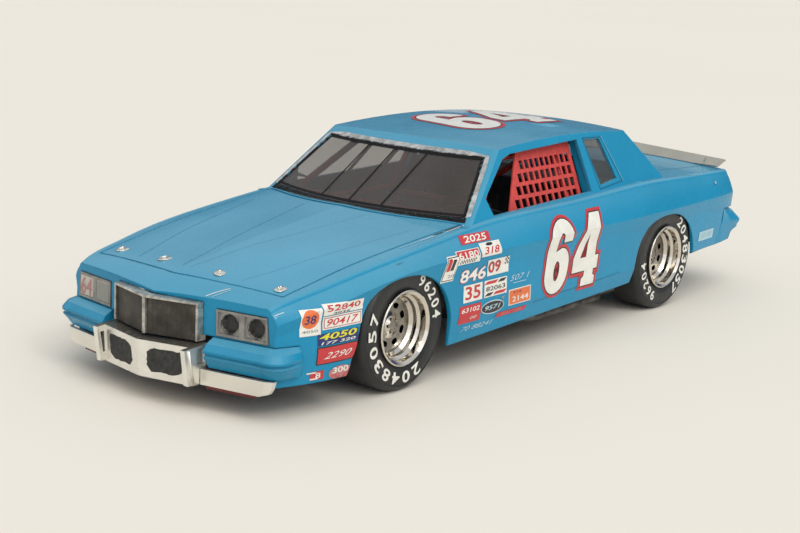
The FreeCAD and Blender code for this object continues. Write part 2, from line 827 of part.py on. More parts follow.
def wheel_house(axle_x, room):
    """Inner housing round a wheel, kept within the room under the skin."""
    r = tyre_radius + wheel_gap
    inner = wheel_inner_y - wheel_gap
    outer = wheel_outer_y - tyre_shoulder
    ring = cylinder_y(axle_x, axle_z, inner - house_wall, outer, r + house_wall)
    ring = ring.cut(cylinder_y(axle_x, axle_z, inner, outer + 1, r))
    ring = ring.common(box(axle_x - 2 * r, axle_x + 2 * r, 0, 2 * half_width, axle_z + 2.0, axle_z + 2 * r))
    slot = box(axle_x - 6.0, axle_x + 6.0, inner - 2, inner + 0.5, 0, axle_z + 6.0)
    return max(ring.cut(slot).common(room).Solids, key=lambda solid: solid.Volume)


def cage_braces(radius):
    """The two tubes that run back from the main hoop to the frame over the rear axle."""
    foot = V(rear_axle_x + 6.0, rail_y + rail_width / 2, axle_z + 9.6 + rail_height + 1.0)
    brace = rod(V(hoop_x, cage_top_y - 2.0, cage_top_z), foot, radius)
    return brace, mirror_y(brace)


def roll_cage():
    """Welded tube cage: main hoop, front legs along the windscreen, roof bars, door bars, braces."""
    foot = floor_z + floor_thickness + fit_gap
    leg_x, header_x = firewall_x - 3.5, header_corner_x - 5.4
    low_y, belt_y = half_width - 7.0, half_width - 8.0
    knee_z, top = cowl_z - 1.4, cage_top_z
    r, bend = cage_radius, cage_bend
    thin = 0.9 * r
    side = [V(hoop_x, low_y, foot), V(hoop_x, belt_y, knee_z), V(hoop_x, cage_top_y, top)]
    tubes = [bent_tube(side + [V(p.x, -p.y, p.z) for p in side[::-1]], r, bend)]
    leg = [V(leg_x, low_y, foot), V(leg_x, belt_y - 0.1, knee_z + 1.0), V(header_x, cage_top_y, top - 0.4), side[-1]]
    leg = bent_tube(leg, r, bend)
    tubes += [leg, mirror_y(leg)]
    for k in range(4):
        z = foot + 3.8 + 5.0 * k
        bar = rod(V(hoop_x, low_y - 0.3, z), V(leg_x, low_y - 0.3, z), thin)
        tubes += [bar, mirror_y(bar)]
    tubes += cage_braces(thin)
    cross = [(header_x - 1.4, cage_top_y, top - 0.3), (leg_x, belt_y, knee_z + 0.6), (hoop_x, low_y, knee_z - 4.0)]
    for x, y, z in cross:
        tubes.append(rod(V(x, -y, z), V(x, y, z), r))
    tubes.append(rod(V(hoop_x, 0.5 - low_y, foot + 1.0), V(hoop_x, cage_top_y - 4.0, top - 0.4), thin))
    return fuse(tubes)


def seat():
    """High-backed bucket seat with side wings."""
    x, y, z = seat_x, driver_y, floor_z + floor_thickness + fit_gap
    w = seat_half_width
    cushion = side_prism([(x, z), (x + 11.5, z), (x + 12.5, z + 4.6), (x + 1.5, z + 2.6)], y - w, y + w)
    back = side_prism([(x - 3.0, z), (x + 0.6, z), (x - 2.4, z + 27.0), (x - 4.6, z + 27.0)], y - w, y + w)
    outline = [(x - 3.0, z + 4), (x + 12.0, z + 4), (x + 8.0, z + 8.0), (x + 2.0, z + 11.0), (x, z + 22.0)]
    wing = side_prism(outline + [(x - 4.0, z + 22.0)], y + w - 1.0, y + w)
    other = wing.translated(V(0, -2 * w + 1.0, 0))
    return fuse([cushion, back, wing, other])


def dashboard():
    """Panel across the cabin under the cowl, with a rounded-off top."""
    x = firewall_x - fit_gap
    top = cowl_z - 1.8
    outline = [(x, top - 8.0), (x - 4.2, top - 8.0), (x - 5.0, top - 1.0), (x - 4.0, top), (x, top)]
    half = belt_half_width - 5.9
    return side_prism(outline, -half, half)


def steering_wheel():
    """Three-spoke wheel on its column."""
    centre = V(firewall_x - 18.9, driver_y, cowl_z - 4.2)
    axis = V(-1, 0, 0.32).normalize()
    ring = Part.makeTorus(steering_radius, 0.6, centre, axis)
    hub = Part.makeCylinder(1.4, 1.2, centre - axis * 0.6, axis)
    parts = [ring, hub]
    side = V(0, 1, 0)
    up = axis.cross(side)
    for turn in (90, 210, 330):
        a = math.radians(turn)
        tip = centre + (side * math.cos(a) + up * math.sin(a)) * steering_radius
        parts.append(rod(centre, tip, 0.5))
    reach = (firewall_x - 5.2 - centre.x) / -axis.x
    parts.append(rod(centre, centre - axis * reach, 0.7))
    return fuse(parts)


def engine_block():
    """V8 block with its sump, timing cover, pulley and bell housing."""
    x0, x1 = engine_rear_x, engine_rear_x + engine_length
    z0 = engine_z
    half = [(4.5, -2.2), (5.0, 4.5), (9.5, 10.5), (5.2, 13.8)]
    outline = half + [(0, 10.8)] + [(-y, z) for y, z in half[::-1]]
    block = polygon_face([V(x0, y, z0 + z) for y, z in outline]).extrude(V(x1 - x0, 0, 0))
    cover = Part.makeCylinder(4.2, 1.8, V(x1, 0, z0 + 3.4), V(1, 0, 0))
    pulley = Part.makeCylinder(3.0, 1.6, V(x1 + 1.6, 0, z0 + 1.0), V(1, 0, 0))
    bell = Part.makeCone(6.6, 4.2, 6.0, V(x0, 0, z0 + 2.8), V(-1, 0, 0))
    return fuse([block, cover, pulley, bell])


def valve_covers():
    """Cylinder heads with their rocker covers."""
    x0, length = engine_rear_x + 1.0, engine_length - 2.0
    outline = [(9.7, 10.7), (12.6, 14.3), (8.6, 17.0), (5.5, 14.0)]
    return pair(polygon_face([V(x0, y, engine_z + z) for y, z in outline]).extrude(V(length, 0, 0)))


def air_cleaner():
    """Round air cleaner on its carburettor and manifold."""
    x = engine_rear_x + engine_length / 2
    z0 = engine_z + 12.5
    manifold = box(x - 7.0, x + 7.0, -2.6, 2.6, z0, z0 + 1.6)
    carb = box(x - 2.4, x + 2.4, -2.6, 2.6, z0 + 1.6, z0 + 3.2)
    pan = Part.makeCylinder(6.6, 1.8, V(x, 0, z0 + 3.2))
    lid = Part.makeCone(6.9, 6.2, 0.5, V(x, 0, z0 + 5.0))
    return fuse([manifold, carb, pan, lid])


def radiator():
    """Core with a tank at each end, standing on the frame's cross member."""
    x, z = radiator_x, frame_z + 1.6 + fit_gap
    top, side = nose_edge_z + 0.8, radiator_half_width
    core = box(x - 1.3, x + 1.3, -side, side, z, top)
    tank = box(x - 1.7, x + 1.7, side - 1.4, side + 1.4, z, top + 0.4)
    return fuse([core, tank, mirror_y(tank)])


def fan():
    """Fan with four blades on the water pump."""
    x, hub_x = radiator_x - 11.5, engine_rear_x + engine_length + 2.0
    z = engine_z + 6.2
    parts = [Part.makeCylinder(1.4, x + 1.0 - hub_x, V(hub_x, 0, z), V(1, 0, 0))]
    for k in range(4):
        blade = box(x - 0.2, x + 0.6, -0.9, 0.9, z, z + fan_radius)
        blade.rotate(V(x, 0, z), V(1, 0, 0), 90 * k + 20)
        parts.append(blade)
    return fuse(parts)


def headers(sign):
    """Four header pipes into a collector, then a side pipe that runs back under the sill."""
    z0 = engine_z
    low_z = frame_z - pipe_radius - fit_gap
    knee = V(engine_rear_x - 3.0, sign * 12.0, z0 + 1.0)
    parts = []
    for k in range(4):
        x = engine_rear_x + 2.0 + 4.0 * k
        route = [V(x, sign * 9.6, z0 + 9.8), V(x, sign * 13.0, z0 + 8.6), knee]
        parts.append(bent_tube(route, header_radius, 1.2))
    side_y = sign * (half_width - 6.6)
    run = [
        knee,
        V(firewall_x + 1.5, sign * (rail_y - 4.8), frame_z + 0.9),
        V(12.0, sign * (rail_y - 4.6), low_z),
        V(0.0, side_y, low_z),
        V(pipe_end_x, side_y, low_z + 0.5),
    ]
    return fuse(parts + [bent_tube(run, pipe_radius, 3.0)])


def gearbox():
    """Tapered gearbox with its tail housing."""
    front = engine_rear_x - 6.0 - fit_gap
    rear = front - 17.0
    case = Part.makeCone(4.0, 2.6, front - rear, V(front, 0, shaft_z), V(-1, 0, 0))
    tail = rod(V(rear + 0.1, 0, shaft_z), V(gearbox_rear_x, 0, shaft_z), 1.6)
    return fuse([case, tail])


def drive_shaft():
    """Plain shaft from the gearbox's tail to the rear axle's snout."""
    front = V(gearbox_rear_x - fit_gap, 0, shaft_z)
    return rod(front, V(rear_axle_x + 8.5 + fit_gap, 0, axle_z), 1.2)


def fuel_cell():
    """Box between the rear rails."""
    top = axle_z + 3.6 - fit_gap
    return box(fuel_cell_x - 8.5, fuel_cell_x + 8.5, -10.0, 10.0, top - 8.4, top)


def windscreen():
    """Bowed front glass."""
    skin = greenhouse(0.25).cut(greenhouse(0.25 + glass_thickness))
    return skin.common(windscreen_cutter(fit_gap))


def rear_window():
    """Bowed rear glass."""
    skin = greenhouse(0.25).cut(greenhouse(0.25 + glass_thickness))
    return skin.common(backlight_cutter(fit_gap))


def quarter_glass(sign):
    """Glass of the small window behind the door."""
    skin = greenhouse(0.35).cut(greenhouse(0.35 + glass_thickness))
    pane = skin.common(quarter_window(fit_gap))
    return pane if sign > 0 else mirror_y(pane)


def windscreen_braces():
    """Three straps that stand behind the windscreen."""
    bars = []
    skin = greenhouse(0.25 + glass_thickness + 0.15).cut(greenhouse(0.25 + glass_thickness + 0.85))
    strip = skin.common(windscreen_cutter(fit_gap))
    half = brace_width / 2
    for y in (-brace_pitch, 0.0, brace_pitch):
        bars.append(strip.common(box(0, front_axle_x, y - half, y + half, 0, roof_height)))
    return Part.makeCompound(bars)


def net_sheet(depth):
    """Everything more than a depth inside the greenhouse's sides, up to the roof's inner face."""
    wires = [greenhouse_outline(z, depth) for z in (greenhouse_base_z - 3.0, roof_height)]
    return Part.makeLoft(wires, True, True).common(greenhouse(wall + fit_gap))


def window_net():
    """Webbing net inside the driver's window: a plain top band over rows of slots."""
    low, high = door_window_low_z - 0.4, roof_height
    rear = door_window_rear_x + 1.4
    slant = 0.66
    front = rear + 33.0
    band = door_window_high_z - 2.5
    outline = [(rear, low), (rear, high), (front - slant * (high - low), high), (front, low)]
    sheet = net_sheet(net_depth).cut(net_sheet(net_depth + net_thickness))
    sheet = sheet.common(side_prism(outline, 0, half_width))
    cuts = []
    for row in range(net_rows):
        z0 = band - net_row_pitch * row - net_slot_height
        left = rear + 1.5
        right = front - slant * (z0 - low) - 2.4
        pitch = (right - left) / net_columns
        for column in range(net_columns):
            x = left + pitch * column
            cuts.append(box(x, x + pitch * net_slot_share, 0, half_width, z0, z0 + net_slot_height))
    return sheet.cut(cuts)


def spoiler():
    """Thin blade across the tail, leaning back, wider at its top."""
    x, z = tail_face_x + 3.6, tail_z + 1.2
    y = half_width - 6.5
    points = [V(x, y, z), V(x, y + 1.7, z + 2.6), V(x, 0, z + 4.3), V(x, -y - 1.7, z + 2.6), V(x, -y, z)]
    blade = polygon_face(points).extrude(V(0.5, 0, 0))
    blade.rotate(V(x, 0, z), V(0, 1, 0), -38)
    return blade.cut(lower_body(-fit_gap))


def nose_slab(y0, y1, z0, z1, back, front):
    """A slab along the nose face, from back to front of it."""
    points = [(nose_x(y0, back), y0), (nose_x(y0, front), y0), (nose_x(y1, front), y1), (nose_x(y1, back), y1)]
    return plan_prism(points, z0, z1)


def grille_slab(y0, y1, z0, z1, back, front):
    """A slab along the left half of the grille's V, from back to front of it."""
    near, far = nose_face_x - grille_slope * y0, nose_face_x - grille_slope * y1
    points = [(near + back, y0), (near + front, y0), (far + front, y1), (far + back, y1)]
    return plan_prism(points, z0, z1)


def grille():
    """Bright frame, open below, with its centre post, a V in plan, and the mesh panels inside it."""
    z0, z1 = grille_low_z, grille_high_z
    bar, post, gap = grille_bar, grille_post / 2, fit_gap
    outer = grille_half_width
    frame = both_sides(grille_slab(0, outer, z0, z1, 0.4, grille_stand))
    left = grille_slab(post, outer - bar, z0 - bar, z1 - bar, 0, grille_stand + 1)
    frame = frame.cut([left, mirror_y(left)])
    mesh = grille_slab(post + gap, outer - bar - gap, z0, z1 - bar - gap, 1.4, grille_stand - 0.5)
    return frame, pair(mesh)


def lamp_bays():
    """Widths of the two lamps of a side."""
    half = (lamp_outer_y - lamp_inner_y) / 2
    return [(lamp_inner_y + k * half + 0.6, lamp_inner_y + (k + 1) * half - 0.7) for k in range(2)]


def lamp_bezel(sign):
    """Lamp housing with its two round openings."""
    z0, z1 = lamp_low_z + 0.7, lamp_high_z - 0.6
    body = nose_slab(lamp_inner_y, lamp_outer_y, lamp_low_z, lamp_high_z, -1.8, 0.3).common(lamp_prism(fit_gap))
    cuts = []
    for y0, y1 in lamp_bays():
        middle = (y0 + y1) / 2
        cuts.append(nose_slab(y0, y1, z0, z1, -0.2, 2))
        centre = V(nose_x(middle) - 6, middle, (z0 + z1) / 2)
        round_hole = Part.makeCylinder(lamp_round_radius, 9, centre, V(1, 0, 0))
        cuts.append(round_hole.common(nose_slab(y0, y1, z0, z1, -1.2, 2)))
    bezel = body.cut(cuts)
    return bezel if sign > 0 else mirror_y(bezel)


def lamp_covers():
    """Two flat covers over the right-hand lamps."""
    z0, z1 = lamp_low_z + 0.8, lamp_high_z - 0.7
    covers = [nose_slab(y0 + 0.1, y1 - 0.1, z0, z1, -0.1, 0.25) for y0, y1 in lamp_bays()]
    return Part.makeCompound([mirror_y(cover) for cover in covers])


def bumper_cover():
    """Body-coloured bumper bulge under the lamps, round at its corner, with a groove."""
    def plan(push, z):
        t = push / cover_bulge
        y = cover_corner_y
        front = nose_x(y)
        a, b = V(nose_x(cover_inner_y, push), cover_inner_y, z), V(front + push, y, z)
        middle = V(front - 0.9 + 3.0 * t, y + 1.0 + 2.6 * t, z)
        c = V(front - 2.9 + 1.4 * t, y + 2.0 + 2.8 * t, z)
        d, e = V(cover_seam_x, y + 3.4 + t, z), V(cover_seam_x, y + 0.8, z)
        g, f = V(nose_x(y, -1.8), y - 1.3, z), V(nose_x(cover_inner_y, -1.6), cover_inner_y, z)
        corners = [c, d, e, g, f, a]
        runs = [line(p, q) for p, q in zip(corners, corners[1:])]
        return Part.Wire([line(a, b), arc(b, middle, c)] + runs)

    low, high, full = cover_low_z, cover_top_z, cover_bulge
    middle = (low + high) / 2 - 0.2
    levels = [
        (low, 0.45 * full),
        (low + 1.4, 0.72 * full),
        (middle - 0.5, 0.95 * full),
        (middle - 0.2, 0.82 * full),
        (middle + 0.2, 0.82 * full),
        (middle + 0.5, full),
        (high - 2.4, full),
        (high - 1.0, 0.7 * full),
        (high, 0.08 * full),
    ]
    return Part.makeLoft([plan(push, z) for z, push in levels], True, True)


def lower_strip():
    """Bright strip under the bumper cover, with a slanted outer end."""
    y0, y1, y2 = strip_inner_y, strip_outer_y - 1.8, strip_outer_y
    front, back = strip_reach, strip_reach - strip_depth
    plan = [(nose_x(y0, front), y0), (nose_x(y1, front), y1), (nose_x(y2, front - 0.8), y2)]
    plan += [(nose_x(y2, back - 0.8), y2), (nose_x(y1, back), y1), (nose_x(y0, back), y0)]
    low, high = strip_low_z, strip_high_z
    x = nose_x(half_width)
    end = [(y0, low), (y2 - 3.0, low), (y2 - 0.9, low + 0.7), (y2 - 0.4, low + 1.6), (y2, high), (y0, high)]
    outline = polygon_face([V(x, y, z) for y, z in end])
    return plan_prism(plan, low, high).common(outline.extrude(V(front_overhang, 0, 0)))


def prow_section(z, inset, depth):
    """Plan of the front bumper at a height, drawn inwards by an inset."""
    y1 = guard_outer_y - guard_width / 2
    front = prow_x - inset - prow_rake * (bumper_high_z - z)
    half = [(front, 0), (front - prow_slope * y1, y1), (front - prow_slope * y1 - depth, y1), (front - depth, 0)]
    mirrored = [(x, -y) for x, y in half[-2:0:-1]]
    return Part.makePolygon([V(x, y, z) for x, y in half + mirrored + half[:1]])


def front_bumper():
    """Bright V bumper: a raked face with two large openings and a slotted guard at each end."""
    low, high, skin = bumper_low_z, bumper_high_z + 1.0, bumper_skin
    block = Part.makeLoft([prow_section(low, 0, bumper_depth), prow_section(high, 0, bumper_depth)], True, True)
    hollow_low, hollow_high = low + skin, bumper_high_z - skin
    hollow = [prow_section(z, skin, 2 * bumper_depth) for z in (hollow_low, hollow_high)]
    inner = guard_outer_y - guard_width
    room = box(0, 2 * nose_tip_x, -inner, inner, 0, 2 * high)
    block = block.cut(Part.makeLoft(hollow, True, True).common(room))

    front = prow_x - 0.3
    back = nose_x(guard_outer_y, 0.4)
    slant = guard_rake * (bumper_high_z - guard_low_z)
    side = [(back, guard_low_z), (front - slant, guard_low_z), (front, bumper_high_z), (front, high), (back, high)]
    guard = side_prism(side, inner, guard_outer_y)
    face = prow_x - prow_slope * guard_outer_y
    lean = prow_rake * (bumper_high_z - guard_low_z)
    slot = [(face - lean + 0.9, guard_low_z + 2.0), (front - slant - 0.6, guard_low_z + 2.0)]
    slot += [(front - 1.0, bumper_high_z - 1.3), (face + 0.5, bumper_high_z - 1.3)]
    high_z = bumper_high_z - 0.4
    pocket = box(face - 3.6, face - 1.2, guard_outer_y - 0.4, guard_outer_y + 1, high_z - 3.2, high_z)
    guard = guard.cut([side_prism(slot, 0, guard_outer_y - 0.45), pocket])

    hole = box(0, 2 * nose_tip_x, 2.4, inner - 1.6, low + 1.8, bumper_high_z - 1.6)
    long_edges = [e for e in hole.Edges if e.Length > nose_tip_x]
    hole = hole.makeFillet(1.9, long_edges)
    bumper = fuse([block, guard, mirror_y(guard)]).cut([hole, mirror_y(hole)])
    slope = [(nose_tip_x, bumper_high_z - 0.1), (nose_tip_x, 2 * high), (0, 2 * high), (0, bumper_high_z + 0.7)]
    slope.append((nose_tip_x - 10.0, bumper_high_z + 0.7))
    return bumper.cut(side_prism(slope, -half_width, half_width))


def air_dam():
    """Dark red lower apron, set back behind the bright bumper at the centre."""
    z0, z1 = apron_low_z, strip_high_z - 0.1
    y0, y1, y2 = strip_inner_y, strip_inner_y + 1.2, apron_outer_y
    side = nose_slab(y0, y2, z0, z1, -0.6, 0.6)
    link = nose_slab(y0, y1, z0, z1, -4.2, 0.0)
    middle = nose_slab(0, y1, z0, z1, -4.2, -3.0)
    return both_sides(fuse([side, link, middle]))


def rear_bumper():
    """Body-coloured rear bumper: a bulge that wraps the tail, cut up under its lower lip."""
    tip, top = tail_tip_x, bumper_top_z
    side, seam = bumper_side_y, bumper_seam_x
    foot = seam + bumper_seam_run
    inner = side - bumper_wall
    low = sill_z(foot)

    def plan(z, draw):
        """Plan at a height, with the tail face and its corners drawn in."""
        front = tip + draw
        corner = side - 0.4 * draw
        half = [(front, 0), (front, corner - 4.0), (front + 0.6, corner - 1.6), (front + 2.8, corner - 0.3)]
        half += [(seam, side), (foot, side), (foot, inner), (seam, inner)]
        half += [(front + 2.8 + bumper_depth_rear, corner - 0.3 - bumper_depth_rear)]
        half += [(front + bumper_depth_rear, corner - 4.0 - bumper_depth_rear), (front + bumper_depth_rear, 0)]
        half += [(x, -y) for x, y in half[-2:0:-1]]
        return Part.makePolygon([V(x, y, z) for x, y in half + half[:1]])

    levels = [(low - 1.0, 1.0), (top - 5.6, 0.8), (top - 4.6, 0.0), (top - 4.0, 0.0), (top - 1.6, 2.6), (top, 5.0)]
    bulge = Part.makeLoft([plan(z, draw) for z, draw in levels], True, True)
    profile = [(foot, low), (seam, bumper_seam_z), (seam - 1.2, top), (tip - 1.0, top), (tip - 1.0, top - 5.6)]
    profile += [(tip + 0.7, top - 5.6), (tip + 6.3, top - 6.8), (tip + 7.7, top - 7.4), (tip + 9.0, low + 0.6)]
    return bulge.common(side_prism(profile, -2 * half_width, 2 * half_width))


def tail_lamps():
    """Dark lamps let into the leaning tail panel."""
    z0, z1 = 25.2, 31.4
    outline = [(tail_x(z0, -0.45), z0), (tail_x(z0, -0.15), z0), (tail_x(z1, -0.15), z1), (tail_x(z1, -0.45), z1)]
    return pair(side_prism(outline, 12.0, half_width - 7.5))


def parts_list():
    outer, inner = lower_body(0), lower_body(wall)
    room = lower_body(wall + fit_gap)
    frame, mesh = grille()
    shapes = {
        "body_shell": body_shell(outer, inner),
        "hood": hood(outer, inner),
        "grille_frame": frame,
        "grille_mesh": mesh,
        "front_bumper": front_bumper(),
        "lamp_bezel_left": lamp_bezel(1),
        "lamp_bezel_right": lamp_bezel(-1),
        "lamp_covers_right": lamp_covers(),
        "bumper_cover": pair(bumper_cover()),
        "lower_strip": pair(lower_strip()),
        "air_dam": air_dam(),
        "rear_bumper": rear_bumper(),
        "tail_lamps": tail_lamps(),
        "spoiler": spoiler(),
        "windscreen": windscreen(),
        "windscreen_braces": windscreen_braces(),
        "rear_window": rear_window(),
        "quarter_window_left": quarter_glass(1),
        "quarter_window_right": quarter_glass(-1),
        "window_net": window_net(),
        "roll_cage": roll_cage(),
        "seat": seat(),
        "dashboard": dashboard(),
        "steering_wheel": steering_wheel(),
        "interior_tub": interior_tub(),
        "inner_fenders_front": pair(wheel_house(front_axle_x, room)),
        "wheel_tubs_rear": pair(wheel_house(rear_axle_x, room)),
        "frame": frame_rails(),
        "engine_block": engine_block(),
        "valve_covers": valve_covers(),
        "air_cleaner": air_cleaner(),
        "radiator": radiator(),
        "fan": fan(),
        "exhaust_left": headers(1),
        "exhaust_right": headers(-1),
        "gearbox": gearbox(),
        "drive_shaft": drive_shaft(),
        "rear_axle": rear_axle(),
        "rear_springs": rear_springs(),
        "front_suspension": front_suspension(),
        "knuckle_left": knuckle(front_axle_x),
        "knuckle_right": mirror_y(knuckle(front_axle_x)),
        "fuel_cell": fuel_cell(),
    }
    for end, axle_x in (("front", front_axle_x), ("rear", rear_axle_x)):
        left_tyre, left_rim = tyre(axle_x), rim(axle_x)
        shapes[f"tyre_{end}_left"] = left_tyre
        shapes[f"rim_{end}_left"] = left_rim
        shapes[f"tyre_{end}_right"] = mirror_y(left_tyre)
        shapes[f"rim_{end}_right"] = mirror_y(left_rim)
    return shapes


os.makedirs("parts", exist_ok=True)
for name, shape in parts_list().items():
    shape.exportStep(f"parts/{name}.step")
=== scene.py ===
"""Looks of the scale-model stock car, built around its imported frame. Blender works in metres."""

import bpy
import bmesh
import math
import random
from mathutils import Matrix, Vector
from mathutils.bvhtree import BVHTree


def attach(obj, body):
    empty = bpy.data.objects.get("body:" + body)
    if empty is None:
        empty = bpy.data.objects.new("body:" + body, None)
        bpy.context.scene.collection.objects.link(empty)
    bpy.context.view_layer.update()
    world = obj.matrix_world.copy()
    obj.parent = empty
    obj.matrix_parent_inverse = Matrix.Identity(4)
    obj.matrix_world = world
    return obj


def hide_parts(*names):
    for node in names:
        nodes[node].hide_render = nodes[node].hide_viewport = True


MM = 0.001

# Sizes of the car that its solids share, in millimetres
AXLE_X = 58.2
AXLE_Z = 14.75
TYRE_OUTER_Y = 35.3
TYRE_INNER_Y = 23.1

# The photograph's frame in pixels, and the camera's focal length in the same pixels
IMAGE_WIDTH = 800
FOCAL_LENGTH = 1631.95
SENSOR_WIDTH = 36.0

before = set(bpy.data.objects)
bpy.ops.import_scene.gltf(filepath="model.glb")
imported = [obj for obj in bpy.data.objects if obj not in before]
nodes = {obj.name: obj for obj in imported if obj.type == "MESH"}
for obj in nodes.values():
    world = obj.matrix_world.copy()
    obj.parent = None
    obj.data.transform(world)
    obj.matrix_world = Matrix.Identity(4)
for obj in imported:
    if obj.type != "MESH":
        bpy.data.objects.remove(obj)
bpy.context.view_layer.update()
scene = bpy.context.scene
chance = random.Random(64)


class Tree:
    """A material's node tree, with short calls for the nodes that the materials share."""

    def __init__(self, name):
        self.material = bpy.data.materials.new(name)
        self.material.use_nodes = True
        self.nodes = self.material.node_tree.nodes
        self.links = self.material.node_tree.links
        self.shader = self.nodes["Principled BSDF"]

    def add(self, kind, **values):
        node = self.nodes.new("ShaderNode" + kind)
        for key, value in values.items():
            setattr(node, key, value)
        return node

    def wire(self, source, target):
        self.links.new(source, target)

    def noise(self, scale, detail=4.0, rough=0.5, stretch=None):
        """Noise in the object's own space; scale is in repeats per millimetre."""
        texture = self.add("TexNoise")
        texture.inputs["Scale"].default_value = scale / MM
        texture.inputs["Detail"].default_value = detail
        texture.inputs["Roughness"].default_value = rough
        source = self.add("TexCoord").outputs["Object"]
        if stretch:
            mapping = self.add("Mapping")
            mapping.inputs["Scale"].default_value = stretch
            self.wire(source, mapping.inputs["Vector"])
            source = mapping.outputs["Vector"]
        self.wire(source, texture.inputs["Vector"])
        return texture.outputs["Fac"]

    def ramp(self, source, stops):
        ramp = self.add("ValToRGB")
        elements = ramp.color_ramp.elements
        while len(elements) < len(stops):
            elements.new(0.5)
        for element, (place, colour) in zip(elements, stops):
            element.position = place
            element.color = (*colour, 1)
        self.wire(source, ramp.inputs["Fac"])
        return ramp.outputs["Color"]

    def mix(self, factor, a, b):
        node = self.add("Mix", data_type="RGBA")
        self.wire(factor, node.inputs[0])
        self.wire(a, node.inputs[6])
        self.wire(b, node.inputs[7])
        return node.outputs[2]

    def facing(self, axis, low, high):
        """Rises from 0 to 1 as the surface's normal turns along an axis, either way for X and Y."""
        split = self.add("SeparateXYZ")
        self.wire(self.add("NewGeometry").outputs["Normal"], split.inputs["Vector"])
        amount = split.outputs[axis]
        if axis != "Z":
            size = self.add("Math", operation="ABSOLUTE")
            self.wire(amount, size.inputs[0])
            amount = size.outputs["Value"]
        span = self.add("MapRange", interpolation_type="SMOOTHSTEP")
        span.inputs["From Min"].default_value = low
        span.inputs["From Max"].default_value = high
        self.wire(amount, span.inputs["Value"])
        return span.outputs["Result"]

    def vary(self, source, low, high, socket):
        """Sends a shader socket between low and high with a source."""
        span = self.add("MapRange")
        span.inputs["From Min"].default_value = 0.3
        span.inputs["From Max"].default_value = 0.7
        span.inputs["To Min"].default_value = low
        span.inputs["To Max"].default_value = high
        self.wire(source, span.inputs["Value"])
        self.wire(span.outputs["Result"], self.shader.inputs[socket])

    def bump(self, source, height, soften=0.0, waves=0.0):
        """Relief of a height in millimetres; soften rounds sharp edges, waves bow the broad faces."""
        node = self.add("Bump")
        node.inputs["Distance"].default_value = height * MM
        self.wire(source, node.inputs["Height"])
        if waves:
            slow = self.add("Bump")
            slow.inputs["Distance"].default_value = waves * MM
            self.wire(self.noise(0.028, 1.0), slow.inputs["Height"])
            self.wire(slow.outputs["Normal"], node.inputs["Normal"])
        if soften:
            edge = self.add("Bevel", samples=4)
            edge.inputs["Radius"].default_value = soften * MM
            self.wire(edge.outputs["Normal"], (slow if waves else node).inputs["Normal"])
        self.wire(node.outputs["Normal"], self.shader.inputs["Normal"])
        self.wire(node.outputs["Normal"], self.shader.inputs["Coat Normal"])

    def set(self, **values):
        for key, value in values.items():
            self.shader.inputs[key.replace("_", " ")].default_value = value


def shade(colour, factor):
    return tuple(min(1.0, max(0.0, c * factor)) for c in colour)


def finish(
    name, colour, spread=0.08, scale=0.15, rough=(0.35, 0.45), grain=(6.0, 0.004), soften=0.0, **values
):
    """A material with mottled colour, uneven gloss and a fine grain."""
    tree = Tree(name)
    stops = [(0.35, shade(colour, 1 - spread)), (0.65, shade(colour, 1 + spread))]
    tree.wire(tree.ramp(tree.noise(scale), stops), tree.shader.inputs["Base Color"])
    tree.vary(tree.noise(scale * 3), *rough, "Roughness")
    tree.bump(tree.noise(grain[0], 2.0), grain[1], soften)
    tree.set(**values)
    return tree.material


def paint_material(name, side, top):
    """Hand-laid gloss paint with orange peel, faint dust and soft changes of tone; where it faces up it
    takes the paler top colour, a lit copy of the side colour, as painted light.
    """
    tree = Tree(name)
    upright = tree.ramp(tree.noise(0.04, 5.0), [(0.3, shade(side, 0.93)), (0.7, shade(side, 1.07))])
    level = tree.ramp(tree.noise(0.03, 5.0), [(0.3, shade(top, 0.93)), (0.7, shade(top, 1.07))])
    # Painted light: the upright colour turns into the paler, lit top colour as the face turns up.
    tone = tree.mix(tree.facing("Z", 0.3, 0.9), upright, level)
    dust = tree.ramp(tree.noise(1.7, 2.0, 0.7), [(0.70, (0, 0, 0)), (0.76, (0.25, 0.25, 0.25))])
    pale = tree.ramp(tree.noise(0.3), [(0.4, (0.2, 0.42, 0.55)), (0.6, (0.3, 0.5, 0.6))])
    tree.wire(tree.mix(dust, tone, pale), tree.shader.inputs["Base Color"])
    tree.vary(tree.noise(0.4), 0.2, 0.3, "Roughness")
    tree.bump(tree.noise(1.1, 3.0, 0.6), 0.005, 0.5, 1.6)
    tree.set(Specular_IOR_Level=0.1, Coat_Weight=0.28, Coat_Roughness=0.03)
    return tree.material


def chrome_material(name, colour, rough, soften=0.15):
    """Bright plating with faint haze; darker in corners as painted shade, and darker on faces that point
    across the car as a painted dark reflection.
    """
    tree = Tree(name)
    bright = tree.ramp(tree.noise(0.3), [(0.35, shade(colour, 0.92)), (0.65, shade(colour, 1.04))])
    dark = tree.ramp(tree.noise(0.6), [(0.35, shade(colour, 0.06)), (0.65, shade(colour, 0.16))])
    # Painted shade: the colour goes dark in corners and crevices, where little light reaches.
    corners = tree.add("AmbientOcclusion", samples=6)
    corners.inputs["Distance"].default_value = 6.0 * MM
    corner_shade_mask = tree.ramp(corners.outputs["AO"], [(0.25, (0, 0, 0)), (0.75, (1, 1, 1))])
    # Painted reflection: faces that point across the car, such as the wheels' discs, take this darker
    # tone.
    disc_dark_reflection = tree.ramp(tree.noise(0.5), [(0.35, shade(colour, 0.28)), (0.65, shade(colour, 0.45))])
    tone = tree.mix(tree.facing("Y", 0.9, 0.99), bright, disc_dark_reflection)
    tree.wire(tree.mix(corner_shade_mask, dark, tone), tree.shader.inputs["Base Color"])
    tree.vary(tree.noise(0.8), *rough, "Roughness")
    tree.bump(tree.noise(0.5, 2.0), 0.004, soften)
    tree.set(Metallic=1.0)
    return tree.material


